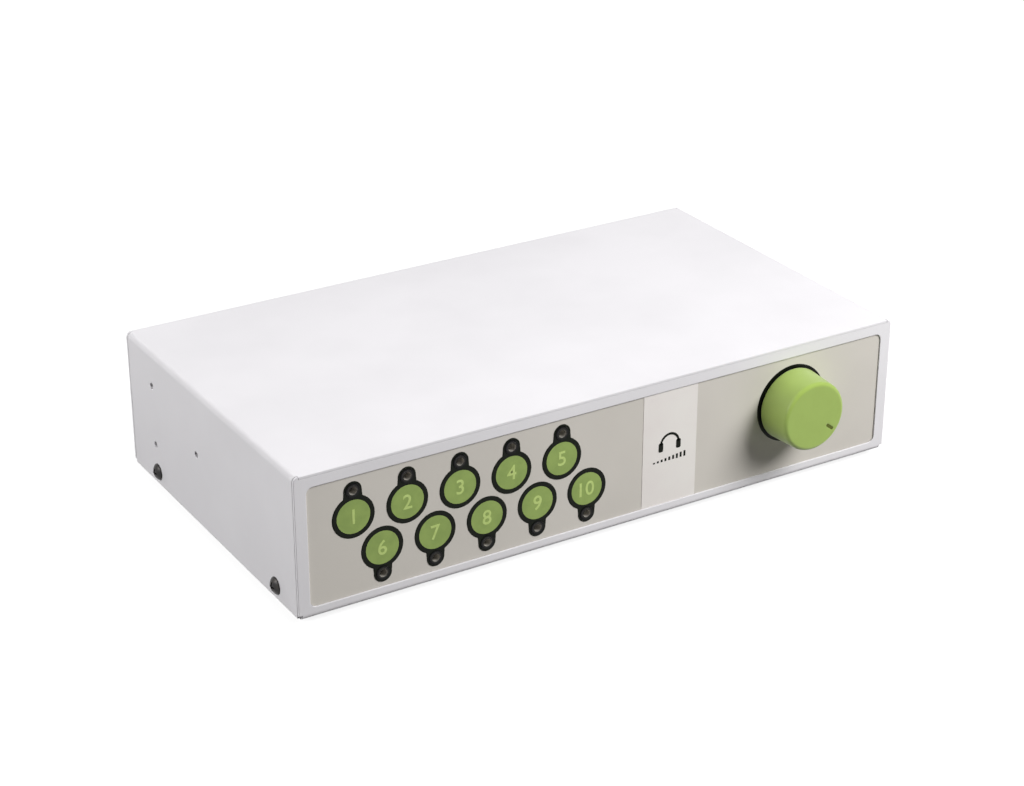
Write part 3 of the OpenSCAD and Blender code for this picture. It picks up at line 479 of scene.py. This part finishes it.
@dataclass(frozen=True)
class ShrunkSleeve(Finish):
    """Plastic sleeve shrunk on a capacitor, which leaves the metal top bare.

    Attributes:
        top_colour: Colour of the metal top as sRGB hex.
        top_edge: How far a surface faces up where the sleeve ends and where the bare top begins.
    """

    top_colour: str = "#C3C6C8"
    top_edge: tuple[float, float] = (0.9, 0.95)

    def colours(self, tree: bpy.types.NodeTree, place: bpy.types.NodeSocket) -> bpy.types.NodeSocket:
        """Shows the sleeve on the sides and the bare can where the surface faces up.

        Args:
            tree: Node tree of the material.
            place: Socket of the coordinates.

        Returns:
            Socket of the colour.
        """
        faces = add_node(tree, "ShaderNodeNewGeometry")
        split = add_node(tree, "ShaderNodeSeparateXYZ", {}, {"Vector": faces.outputs["True Normal"]})
        upward = add_node(
            tree,
            "ShaderNodeMapRange",
            {"From Min": self.top_edge[0], "From Max": self.top_edge[1]},
            {"Value": split.outputs["Z"]},
        )
        sleeve = super().colours(tree, place)
        top = add_node(
            tree,
            "ShaderNodeMix",
            {"data_type": "RGBA", MIX_SECOND: linear_colour(self.top_colour)},
            {0: upward.outputs["Result"], MIX_FIRST: sleeve},
        )
        return top.outputs[MIX_RESULT]


# Powder-coated sheet steel: an even white with the soft ripple of paint that flowed in the oven.
POWDER_WHITE = Finish(
    "powder_coat_white", "#F3F1F4", "#EEECEF", 70.0, 1.6, 0.02, (0.50, 0.62), specular=0.35, edge_mm=0.5
)
# Black-oxide steel: a dark dipped skin that is a little brown where the metal shows.
BLACK_OXIDE = Finish(
    "black_oxide_steel", "#2B2B2C", "#3A3735", 1.5, 0.5, 0.01, (0.32, 0.46), 0.7,
    edge_mm=0.15,
)
# Zinc-plated steel: bright, with cool and faintly yellow clouds from the passivation.
ZINC_PLATE = Finish(
    "zinc_plated_steel", "#C6C9CD", "#CFCBBE", 2.0, 0.6, 0.006, (0.24, 0.36), 1.0,
    edge_mm=0.1,
)
# Moulded rubber: black and matt, with a grain like fine leather and pale dust in the hollows.
MOULDED_RUBBER = Finish(
    "moulded_rubber", "#222223", "#2E2E2F", 3.0, 0.5, 0.04, (0.70, 0.86),
    ior=1.52, edge_mm=0.4,
)
# Polyester film with a velvet face: a warm grey whose fine tooth spreads each highlight.
# The tooth is a few hundredths of a millimetre wide, and is drawn coarser so that it shows.
VELVET_FILM = Finish(
    "velvet_polyester_film", "#DAD5CD", "#D5D0C8", 45.0, 0.45, 0.008, (0.46, 0.58),
    edge_mm=0.2,
)
# Screen-printed black ink: a smooth, thin layer with the faint mark of the screen's mesh.
# The mesh is about 0.1 mm, and is drawn coarser so that it shows.
BLACK_INK = Finish("screen_ink_black", "#0C0F0A", "#12160E", 1.2, 0.4, 0.006, (0.40, 0.52), specular=0.1)
# Screen-printed green ink: the same layer in leaf green, uneven where the squeegee left less ink.
GREEN_INK = Finish("screen_ink_green", "#9BB264", "#91A85E", 6.0, 0.4, 0.006, (0.40, 0.52), specular=0.3)
# Screen-printed pale grey ink, thin enough for the warm film under it to tint it.
PALE_INK = Finish("screen_ink_pale_grey", "#F4F0EB", "#F1EBE7", 25.0, 0.4, 0.006, (0.40, 0.52), ior=1.52)
# A tint of the green ink with white and yellow in it, for the numerals.
TINT_INK = Finish("screen_ink_green_tint", "#CCE18C", "#C1D780", 2.0, 0.4, 0.006, (0.40, 0.52), specular=0.3)
# Glass-filled polyester moulding: black with pale fibre flecks and a fine spark-eroded grain.
FILLED_POLYESTER = Finish(
    "glass_filled_polyester", "#0A0A0B", "#151617", 0.5, 0.35, 0.012, (0.48, 0.60), ior=1.57, specular=0.12,
    patch=Patch.FLECKS, edge_mm=0.15,
)
# Nickel-plated brass: bright and faintly warm, with the turning marks left soft by the plating.
NICKEL_PLATE = Finish(
    "nickel_plated_brass", "#CFCBC3", "#C2BDB3", 1.5, 0.5, 0.004, (0.16, 0.28), 1.0,
    edge_mm=0.1,
)
# Black-nickel ring: dark bright plating on its face, worn through to satin metal in the bore.
BLACK_NICKEL = DarkRing("black_nickel_ring", "#1E1D1A", "#181714", 1.0, 0.5, 0.004, (0.42, 0.54), 0.5)
# Phosphor bronze strip: a warm copper-gold with rolling streaks along its length.
SPRING_BRONZE = Finish(
    "phosphor_bronze_strip", "#C99B5B", "#B98A4E", 0.8, 0.4, 0.004, (0.22, 0.34), 1.0,
    patch=Patch.STREAKS, along=Along.DEPTH,
)
# Solder resist over glass-epoxy board: glossy green, paler over the copper tracks.
SOLDER_RESIST = ResistBoard(
    "solder_resist_board", "#1F5A35", "#3C7C4C", 20.0, 0.7, 0.01, (0.22, 0.34),
    coat=0.3,
)
# Grey vinyl ribbon cable: satin, with a rib for each wire.
RIBBON_VINYL = RibbedSheath(
    "ribbon_cable_vinyl", "#9C9EA1", "#8F9194", 6.0, 1.27, 0.25, (0.42, 0.5),
    ior=1.53,
)
# Polyester sleeve shrunk on the cans: glossy deep blue with small pull lines down the side.
SHRINK_SLEEVE = ShrunkSleeve(
    "shrunk_polyester_sleeve", "#22304F", "#1B2740", 2.0, 1.2, 0.02, (0.24, 0.36), ior=1.57,
    patch=Patch.STREAKS, along=Along.HEIGHT,
)
# Black anodised aluminium: the dyed skin of an extruded bar, with die lines up the fins.
ANODISED_BAR = Finish(
    "black_anodised_aluminium", "#2A2B2E", "#34363A", 0.6, 0.5, 0.012, (0.36, 0.48), 0.6,
    patch=Patch.STREAKS, along=Along.HEIGHT, edge_mm=0.15,
)
# Phenolic paper laminate: brown, with the fibres of the paper in it.
PAPER_LAMINATE = Finish(
    "phenolic_paper_laminate", "#8A5A33", "#7A4C2A", 0.8, 0.5, 0.008, (0.38, 0.5), ior=1.58,
    patch=Patch.STREAKS, along=Along.WIDTH,
)
# Moulded ABS under soft-touch lacquer: leaf green and satin, with a pale bloom where it curves away.
# The lacquer's grain is about 0.05 mm, and is drawn coarser so that it shows.
SOFT_TOUCH_ABS = Finish(
    "soft_touch_abs_green", "#9EB856", "#9AB352", 12.0, 0.5, 0.012, (0.44, 0.54),
    ior=1.54, sheen=0.35, edge_mm=0.5,
)
# Dark olive green of the mark in the pointer's slot, darker than the knob round it.
POINTER_DARK_GREEN = Finish("pointer_dark_green", "#626C2B", "#596325", 0.8, 0.4, 0.004, (0.40, 0.52), specular=0.2)

FINISH_OF_SLOT: dict[str, Finish] = {
    "white_paint": POWDER_WHITE,
    "black_screw": BLACK_OXIDE,
    "zinc_steel": ZINC_PLATE,
    "rubber": MOULDED_RUBBER,
    "overlay_film": VELVET_FILM,
    "black_ink": BLACK_INK,
    "green_ink": GREEN_INK,
    "pale_ink": PALE_INK,
    "black_moulding": FILLED_POLYESTER,
    "nickel": NICKEL_PLATE,
    "spring_brass": SPRING_BRONZE,
    "circuit_board": SOLDER_RESIST,
    "cable_sheath": RIBBON_VINYL,
    "capacitor_sleeve": SHRINK_SLEEVE,
    "heat_sink_metal": ANODISED_BAR,
    "phenolic": PAPER_LAMINATE,
    "green_knob": SOFT_TOUCH_ABS,
}


def deselect_all() -> None:
    """Leaves edit mode and selects nothing, so that an operator acts on the new piece alone."""
    if bpy.context.object and bpy.context.object.mode != "OBJECT":
        bpy.ops.object.mode_set(mode="OBJECT")
    bpy.ops.object.select_all(action="DESELECT")


def settle(piece: bpy.types.Object, name: str, finish: bpy.types.Material, body: str) -> None:
    """Puts a finished piece's place into its mesh, names it, dresses it and hangs it on its body.

    Args:
        piece: The finished piece, the only one selected.
        name: Name of the piece.
        finish: Material of the piece.
        body: Body that the piece moves with.
    """
    bpy.ops.object.transform_apply(location=True, rotation=True, scale=True)
    bpy.ops.object.mode_set(mode="EDIT")
    bpy.ops.mesh.select_all(action="SELECT")
    bpy.ops.mesh.remove_doubles(threshold=MERGE_MM * MM)
    bpy.ops.mesh.normals_make_consistent(inside=False)
    bpy.ops.object.mode_set(mode="OBJECT")
    piece.name = name
    piece.data.name = name
    piece.data.materials.clear()
    piece.data.materials.append(finish)
    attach(piece, body)
    LOG.info("%s: %d faces, rides on %s", name, len(piece.data.polygons), body)


@dataclass
class PackedBox:
    """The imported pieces, which keep their shapes and get their finishes.

    Attributes:
        materials: Finished materials by slot.
        own: Finished materials of the pieces that differ from the rest of their slot.
        count: How many sockets the box has.
        per_row: How many sockets stand in one row.
        disc_offset: From a socket to the middle of its disc.
    """

    frame: dict
    materials: dict[str, bpy.types.Material] = field(default_factory=dict)
    own: dict[str, bpy.types.Material] = field(default_factory=dict)
    count: int = 10
    per_row: int = 5
    disc_offset: float = 11.8

    def dress(self) -> None:
        """Makes each slot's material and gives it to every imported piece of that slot."""
        for slot, finish in FINISH_OF_SLOT.items():
            self.materials[slot] = finish.material()
        self.own["socket_ferrules"] = BLACK_NICKEL.material()
        self.own["knob_pointer"] = POINTER_DARK_GREEN.material()
        for row in self.frame["record"]["subparts"]:
            piece = self.frame["nodes"][row["node"]]
            finish = self.own.get(row["node"], self.materials[row["material_slot"]])
            piece.data.materials.clear()
            piece.data.materials.append(finish)
            LOG.info("%s: %s", row["node"], finish.name)

    def socket(self, number: int) -> Vector:
        """Gives the middle of a headphone socket.

        Args:
            number: The socket's number, counted from one.

        Returns:
            Its place in metres.
        """
        for mount in self.frame["record"]["mounts"]:
            if mount["name"] == f"headphone_{number}":
                return Vector(mount["pos_m"])
        raise ValueError(f"no socket {number}")

    def disc(self, number: int) -> Vector:
        """Gives the middle of a disc's front.

        Args:
            number: The disc's number, counted from one.

        Returns:
            Its place in metres.
        """
        socket = self.socket(number)
        step = -self.disc_offset if number <= self.per_row else self.disc_offset
        return Vector((socket.x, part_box("printed_discs")[0].y, socket.z + step * MM))


@dataclass
class OutlineSpread:
    """Ink that ran a little past the rings of the black outlines while it was wet, as a thin rim.

    Attributes:
        reach: How far the ink ran.
        thick: Thickness of the rim, less than that of the outlines.
        bury: How far the rim sinks into the film.
        ring_r: A radius between the two edges of a disc's ring.
        far_r: A radius just beyond the ring.
    """

    reach: float = 0.3
    thick: float = 0.08
    bury: float = 0.02
    ring_r: float = 8.2
    far_r: float = 9.5

    def build(self, box: PackedBox) -> None:
        """Copies the outlines, thins the copy and widens its rings, so that only the rim shows.

        Args:
            box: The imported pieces, which give the outlines.
        """
        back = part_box("printed_outlines")[1].y
        deselect_all()
        outlines = box.frame["nodes"]["printed_outlines"]
        rim = bpy.data.objects.new("outline_spread", outlines.data.copy())
        bpy.context.collection.objects.link(rim)
        rim.select_set(True)
        bpy.context.view_layer.objects.active = rim
        bpy.ops.object.mode_set(mode="EDIT")
        bpy.ops.mesh.select_mode(type="VERT")
        bpy.ops.mesh.select_all(action="SELECT")
        bpy.ops.mesh.remove_doubles(threshold=MERGE_MM * MM)
        bpy.ops.object.mode_set(mode="OBJECT")
        discs = [box.disc(number) for number in range(1, box.count + 1)]
        self.pick(rim, [self.outside(vertex.co, discs) for vertex in rim.data.vertices])
        bpy.ops.transform.shrink_fatten(value=self.reach * MM, use_even_offset=True)
        bpy.ops.object.mode_set(mode="OBJECT")
        middle = back - self.thick / 2 * MM
        for vertex in rim.data.vertices:
            vertex.co.y = back - self.thick * MM if vertex.co.y < middle else back + self.bury * MM
        settle(rim, "outline_spread", box.materials["black_ink"], "case")

    def pick(self, rim: bpy.types.Object, chosen: list[bool]) -> None:
        """Selects the chosen points alone, and leaves the rim in edit mode.

        Args:
            rim: The rim.
            chosen: For each point, whether it is selected.
        """
        bpy.ops.object.mode_set(mode="EDIT")
        bpy.ops.mesh.select_all(action="DESELECT")
        bpy.ops.object.mode_set(mode="OBJECT")
        for vertex, wanted in zip(rim.data.vertices, chosen):
            vertex.select = wanted
        bpy.ops.object.mode_set(mode="EDIT")

    def outside(self, place: Vector, discs: list[Vector]) -> bool:
        """Tells whether a point lies on the outer edge of a disc's ring.

        Args:
            place: The point.
            discs: Middles of the discs.

        Returns:
            True on the outer edge, and false on the ring's inner edge and on the tabs.
        """
        nearest = min(math.hypot(place.x - disc.x, place.z - disc.z) for disc in discs)
        return self.ring_r * MM < nearest < self.far_r * MM


@dataclass
class Numerals:
    """The numbers printed on the green discs.

    Attributes:
        cap_height: Height of a numeral.
        cap_share: Height of a numeral as a share of the type size.
        weight: How far the strokes are fattened, as a share of the type size.
        ink: Thickness of the ink.
        overlap: How far the ink reaches into the disc under it.
        curve_steps: Facets along each curve of a stroke.
    """

    cap_height: float = 6.8
    cap_share: float = 0.729
    weight: float = 0.012
    ink: float = 0.06
    overlap: float = 0.02
    curve_steps: int = 6

    def build(self, box: PackedBox) -> None:
        """Sets one numeral on each disc, on the disc's front.

        Args:
            box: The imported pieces, which give the discs' places.
        """
        finish = TINT_INK.material()
        for number in range(1, box.count + 1):
            self.print_one(number, box.disc(number), finish)

    def print_one(self, number: int, middle: Vector, finish: bpy.types.Material) -> None:
        """Types one numeral, makes it a mesh and lays it on its disc.

        Args:
            number: The numeral's value.
            middle: Middle of the disc's front.
            finish: Material of the ink.
        """
        deselect_all()
        bpy.ops.object.text_add(location=(0, 0, 0))
        piece = bpy.context.object
        piece.data.body = str(number)
        piece.data.size = self.cap_height / self.cap_share * MM
        piece.data.align_x = "CENTER"
        piece.data.align_y = "CENTER"
        piece.data.offset = self.weight * piece.data.size
        piece.data.extrude = (self.ink + self.overlap) / 2 * MM
        piece.data.resolution_u = self.curve_steps
        bpy.ops.object.convert(target="MESH")
        bpy.ops.object.origin_set(type="ORIGIN_GEOMETRY", center="BOUNDS")
        piece.location = middle + Vector((0, (self.overlap - self.ink) / 2 * MM, 0))
        piece.rotation_euler = (math.pi / 2, 0, 0)
        settle(piece, f"numeral_{number}", finish, "case")


@dataclass
class StripSign:
    """A plain headphone sign over a row of rising bars, printed on the pale strip.

    Attributes:
        middle_z: Height of the headband's ends, as a share of the strip's height.
        band_r: Radius of the headband at its middle.
        band_w: Width of the headband's stroke.
        cup_w: Width of an ear cup.
        cup_h: Height of an ear cup.
        cup_drop: From the headband's ends down to the ear cups' middle.
        cup_round: Rounding of an ear cup's corners.
        bar_count: How many bars stand in the row.
        bar_pitch: Spacing of the bars.
        bar_w: Width of a bar.
        bar_h: Height of the lowest and the highest bar.
        bar_round: Rounding of a bar's corners, as a share of its width.
        bar_drop: From the headband's ends down to the foot of the bars.
        ink: Thickness of the ink.
        overlap: How far the ink reaches into the strip under it.
        steps: Facets along the headband's half turn.
        corner_steps: Facets round each corner.
    """

    middle_z: float = 0.53
    band_r: float = 4.6
    band_w: float = 1.1
    cup_w: float = 2.4
    cup_h: float = 4.4
    cup_drop: float = 1.1
    cup_round: float = 0.8
    bar_count: int = 9
    bar_pitch: float = 2.0
    bar_w: float = 1.0
    bar_h: tuple[float, float] = (0.7, 2.7)
    bar_round: float = 1 / 6
    bar_drop: float = 8.2
    ink: float = 0.06
    overlap: float = 0.02
    steps: int = 32
    corner_steps: int = 5

    def build(self, finish: bpy.types.Material) -> None:
        """Models the headband, the ear cups and the bars, and joins them to one print.

        Args:
            finish: Material of the ink.
        """
        low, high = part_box("printed_strip")
        thick = self.ink + self.overlap
        middle = Vector((
            (low.x + high.x) / 2,
            low.y + (self.overlap - self.ink) / 2 * MM,
            low.z + self.middle_z * (high.z - low.z),
        ))
        marks = [self.headband(middle, thick)]
        for side in (-1, 1):
            place = middle + Vector((side * self.band_r * MM, 0, -self.cup_drop * MM))
            marks.append(self.block(place, self.cup_w, thick, self.cup_h, self.cup_round))
        for number in range(self.bar_count):
            share = number / (self.bar_count - 1)
            height = self.bar_h[0] + share * (self.bar_h[1] - self.bar_h[0])
            across = (number - (self.bar_count - 1) / 2) * self.bar_pitch
            place = middle + Vector((across * MM, 0, (height / 2 - self.bar_drop) * MM))
            marks.append(self.block(place, self.bar_w, thick, height, self.bar_w * self.bar_round))
        deselect_all()
        for mark in marks:
            mark.select_set(True)
        bpy.context.view_layer.objects.active = marks[0]
        bpy.ops.object.join()
        settle(bpy.context.object, "strip_sign", finish, "case")

    def headband(self, middle: Vector, thick: float) -> bpy.types.Object:
        """Spins the headband's section through half a turn over the ear cups.

        Args:
            middle: Middle of the sign.
            thick: Thickness of the print.

        Returns:
            The headband.
        """
        deselect_all()
        bpy.ops.mesh.primitive_plane_add(size=1, location=middle + Vector((self.band_r * MM, 0, 0)))
        band = bpy.context.object
        band.scale = (self.band_w * MM, thick * MM, 1)
        bpy.ops.object.transform_apply(location=True, rotation=True, scale=True)
        bpy.ops.object.mode_set(mode="EDIT")
        bpy.ops.mesh.select_all(action="SELECT")
        bpy.ops.mesh.spin(steps=self.steps, angle=math.pi, center=middle, axis=(0, 1, 0))
        bpy.ops.object.mode_set(mode="OBJECT")
        return band

    def block(
        self, place: Vector, width: float, thick: float, height: float, radius: float
    ) -> bpy.types.Object:
        """Makes one flat mark with rounded corners.

        Args:
            place: Middle of the mark.
            width: Width of the mark.
            thick: Thickness of the print.
            height: Height of the mark.
            radius: Rounding of the corners.

        Returns:
            The mark.
        """
        deselect_all()
        bpy.ops.mesh.primitive_cube_add(size=1, location=place)
        mark = bpy.context.object
        mark.scale = (width * MM, thick * MM, height * MM)
        bpy.ops.object.transform_apply(location=True, rotation=True, scale=True)
        bpy.ops.object.mode_set(mode="EDIT")
        bpy.ops.mesh.select_mode(type="EDGE")
        bpy.ops.mesh.select_all(action="DESELECT")
        bpy.ops.object.mode_set(mode="OBJECT")
        for edge in mark.data.edges:
            first, second = (mark.data.vertices[index].co for index in edge.vertices)
            edge.select = abs((first - second).normalized().y) > ALONG_AXIS
        bpy.ops.object.mode_set(mode="EDIT")
        bpy.ops.mesh.bevel(offset=radius * MM, segments=self.corner_steps, affect="EDGES")
        bpy.ops.object.mode_set(mode="OBJECT")
        return mark


@dataclass
class BushThread:
    """The thread that shows on the line-in bush behind its nut.

    Attributes:
        bush_r: Radius of the bush.
        pitch: From one turn to the next.
        ridge_share: Half the width of a turn's root, as a share of the pitch.
        depth: Height of a turn over the bush.
        bury: How far a turn's root reaches into the bush.
        lead: Plain length left at the bush's end.
        nut_gap: Plain length left at the nut.
        steps: Facets in one turn.
    """

    bush_r: float = 3.1
    pitch: float = 0.6
    ridge_share: float = 0.4
    depth: float = 0.16
    bury: float = 0.06
    lead: float = 0.35
    nut_gap: float = 0.05
    steps: int = 40

    def build(self, finish: bpy.types.Material) -> None:
        """Winds one ridge round the bush, from the nut to near its end.

        Args:
            finish: Material of the bush.
        """
        nut_low, nut_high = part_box("line_in_nut")
        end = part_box("line_in_jack")[1].y
        middle = Vector(((nut_low.x + nut_high.x) / 2, 0, (nut_low.z + nut_high.z) / 2))
        ridge = self.pitch * self.ridge_share
        start = nut_high.y + (ridge + self.nut_gap) * MM
        length = end - self.lead * MM - ridge * MM - start
        corners = ((-self.bury, -ridge), (-self.bury, ridge), (self.depth, 0.0))
        deselect_all()
        bpy.ops.mesh.primitive_circle_add(
            vertices=len(corners), radius=1, fill_type="NOTHING", location=(0, 0, 0)
        )
        thread = bpy.context.object
        for vertex, (out, along) in zip(thread.data.vertices, corners):
            vertex.co = ((self.bush_r + out) * MM, along * MM, 0)
        turn = thread.modifiers.new("turns", "SCREW")
        turn.axis = "Y"
        turn.angle = 2 * math.pi * length / (self.pitch * MM)
        turn.screw_offset = length
        turn.steps = round(self.steps * length / (self.pitch * MM))
        turn.render_steps = turn.steps
        turn.use_smooth_shade = False
        bpy.ops.object.modifier_apply(modifier=turn.name)
        thread.location = middle + Vector((0, start, 0))
        bpy.ops.object.mode_set(mode="EDIT")
        bpy.ops.mesh.select_all(action="SELECT")
        bpy.ops.mesh.fill_holes(sides=0)
        bpy.ops.object.mode_set(mode="OBJECT")
        settle(thread, "line_in_thread", finish, "case")


@dataclass(frozen=True)
class Softbox:
    """One soft studio lamp.

    Attributes:
        name: Name of the lamp.
        place: Where it stands, in metres.
        aim: What it points at, in metres.
        size: Width and height of its face, in metres.
        watts: Its power.
        mirrored: Whether glossy surfaces show it.
    """

    name: str
    place: tuple[float, float, float]
    aim: tuple[float, float, float]
    size: tuple[float, float]
    watts: float
    mirrored: bool = True

    def build(self) -> None:
        """Adds the lamp and turns it to its aim."""
        deselect_all()
        bpy.ops.object.light_add(type="AREA", location=self.place)
        lamp = bpy.context.object
        lamp.name = self.name
        lamp.data.shape = "RECTANGLE"
        lamp.data.size, lamp.data.size_y = self.size
        lamp.data.energy = self.watts
        lamp.visible_glossy = self.mirrored
        lamp.rotation_euler = (Vector(self.aim) - Vector(self.place)).to_track_quat("-Z", "Y").to_euler()


@dataclass
class Studio:
    """The floor, the lights and the camera of the catalogue shot.

    Attributes:
        azimuth: Turn of the camera from the front, in degrees.
        elevation: Height of the camera over the horizon, in degrees.
        distance: From the camera to its target.
        aside: Camera's step to its right.
        above: Camera's step upward in its own view.
        target: What the camera turns round.
        lens: Focal length on a frame of the sensor's width.
        sensor: Width of the sensor.
        near: Nearest distance that the camera draws.
        ambient: Strength of the plain light from all round.
        floor_size: Side of the floor, in metres.
        floor_bounce: Colour of the floor as the box sees it, as sRGB hex.
        floor_seen: Colour of the floor's shadowed share as the camera sees it, as sRGB hex.
        floor_glow: Share of the floor's white that no shadow takes.
        floor_fade: Distances between which the floor turns plain white, in metres.
        lamps: The soft lamps.
    """

    azimuth: float = -31.31
    elevation: float = 25.38
    distance: float = 1079.694
    aside: float = 0.545
    above: float = 27.632
    target: tuple[float, float, float] = (0.0, 6.525, 4.0)
    lens: float = 82.61
    sensor: float = 36.0
    near: float = 50.0
    ambient: float = 0.02
    floor_size: float = 12.0
    floor_bounce: str = "#5C5B5A"
    floor_seen: str = "#969696"
    floor_glow: float = 0.84
    floor_fade: tuple[float, float] = (0.7, 1.8)
    lamps: tuple[Softbox, ...] = (
        Softbox("key_softbox", (0.61, -0.69, 0.74), (0.07, -0.08, 0.04), (0.6, 0.6), 15.6, mirrored=False),
        Softbox("left_softbox", (-1.10, 0.05, 0.72), (-0.10, 0.0, 0.04), (0.5, 0.5), 9.2),
        Softbox("rear_softbox", (-0.25, 1.30, 0.28), (0.0, 0.05, 0.04), (0.6, 0.5), 7.0, mirrored=False),
    )

    def camera(self) -> None:
        """Adds the camera at the photograph's viewing angle."""
        turn, rise = math.radians(self.azimuth), math.radians(self.elevation)
        back = Vector((math.sin(turn) * math.cos(rise), -math.cos(turn) * math.cos(rise), math.sin(rise)))
        right = Vector((math.cos(turn), math.sin(turn), 0))
        up = back.cross(right)
        deselect_all()
        bpy.ops.object.camera_add()
        camera = bpy.context.object
        camera.name = "catalogue_camera"
        camera.data.lens = self.lens
        camera.data.sensor_width = self.sensor
        camera.data.sensor_fit = "HORIZONTAL"
        camera.data.clip_start = self.near * MM
        place = Vector(self.target) + back * self.distance + right * self.aside + up * self.above
        stand = Matrix((right, up, back)).transposed().to_4x4()
        stand.translation = place * MM
        camera.matrix_world = stand
        bpy.context.scene.camera = camera

    def seen_rays(self, tree: bpy.types.NodeTree) -> bpy.types.NodeSocket:
        """Tells the rays that see a surface from those that only carry its light.

        Args:
            tree: Node tree of the world or of the floor.

        Returns:
            Socket that is one for the camera, for mirror images and for what is seen through glass.
        """
        path = add_node(tree, "ShaderNodeLightPath")
        first = add_node(
            tree,
            "ShaderNodeMath",
            {"operation": "MAXIMUM"},
            {0: path.outputs["Is Camera Ray"], 1: path.outputs["Is Glossy Ray"]},
        )
        both = add_node(
            tree,
            "ShaderNodeMath",
            {"operation": "MAXIMUM"},
            {0: first.outputs["Value"], 1: path.outputs["Is Transmission Ray"]},
        )
        return both.outputs["Value"]

    def world(self) -> None:
        """Lights the box evenly from all round, before a background that reads white."""
        world = bpy.data.worlds.new("studio_white")
        bpy.context.scene.world = world
        world.use_nodes = True
        tree = world.node_tree
        tree.nodes.clear()
        strength = add_node(
            tree,
            "ShaderNodeMapRange",
            {"To Min": self.ambient, "To Max": 1.0},
            {"Value": self.seen_rays(tree)},
        )
        white = add_node(
            tree, "ShaderNodeBackground", {"Color": (1, 1, 1, 1)}, {"Strength": strength.outputs["Result"]}
        )
        add_node(tree, "ShaderNodeOutputWorld", {}, {"Surface": white.outputs["Background"]})

    def floor(self) -> None:
        """Lays a plain pale floor that reads white and keeps the box's shadow."""
        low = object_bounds()[0]
        deselect_all()
        bpy.ops.mesh.primitive_plane_add(size=self.floor_size, location=(0, 0, low[2]))
        floor = bpy.context.object
        floor.name = "studio_floor"
        material = bpy.data.materials.new("pale_paper_floor")
        material.use_nodes = True
        tree = material.node_tree
        tree.nodes.clear()
        bounce = add_node(tree, "ShaderNodeBsdfDiffuse", {"Color": linear_colour(self.floor_bounce)})
        shade = add_node(tree, "ShaderNodeBsdfDiffuse", {"Color": linear_colour(self.floor_seen)})
        where = add_node(tree, "ShaderNodeTexCoord")
        distance = add_node(
            tree, "ShaderNodeVectorMath", {"operation": "LENGTH"}, {0: where.outputs["Object"]}
        )
        strength = add_node(
            tree,
            "ShaderNodeMapRange",
            {
                "From Min": self.floor_fade[0],
                "From Max": self.floor_fade[1],
                "To Min": self.floor_glow,
                "To Max": 1.0,
            },
            {"Value": distance.outputs["Value"]},
        )
        glow = add_node(
            tree, "ShaderNodeEmission", {"Color": (1, 1, 1, 1)}, {"Strength": strength.outputs["Result"]}
        )
        seen = add_node(
            tree, "ShaderNodeAddShader", {}, {0: shade.outputs["BSDF"], 1: glow.outputs["Emission"]}
        )
        surface = add_node(
            tree,
            "ShaderNodeMixShader",
            {},
            {0: self.seen_rays(tree), 1: bounce.outputs["BSDF"], 2: seen.outputs["Shader"]},
        )
        add_node(tree, "ShaderNodeOutputMaterial", {}, {"Surface": surface.outputs["Shader"]})
        floor.data.materials.append(material)
        floor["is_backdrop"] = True

    def build(self) -> None:
        """Sets up the world, the floor and the lamps."""
        bpy.context.scene.view_settings.view_transform = "Standard"
        self.world()
        self.floor()
        for lamp in self.lamps:
            lamp.build()


def main() -> None:
    """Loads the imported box, dresses it, adds its printed and threaded details and sets the shot."""
    logging.basicConfig(level=logging.INFO, format="%(name)s %(message)s")
    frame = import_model()
    studio = Studio()
    studio.camera()
    box = PackedBox(frame)
    box.dress()
    OutlineSpread().build(box)
    Numerals().build(box)
    StripSign().build(box.materials["black_ink"])
    BushThread().build(box.materials["nickel"])
    studio.build()
    deselect_all()


if __name__ == "__main__":
    main()
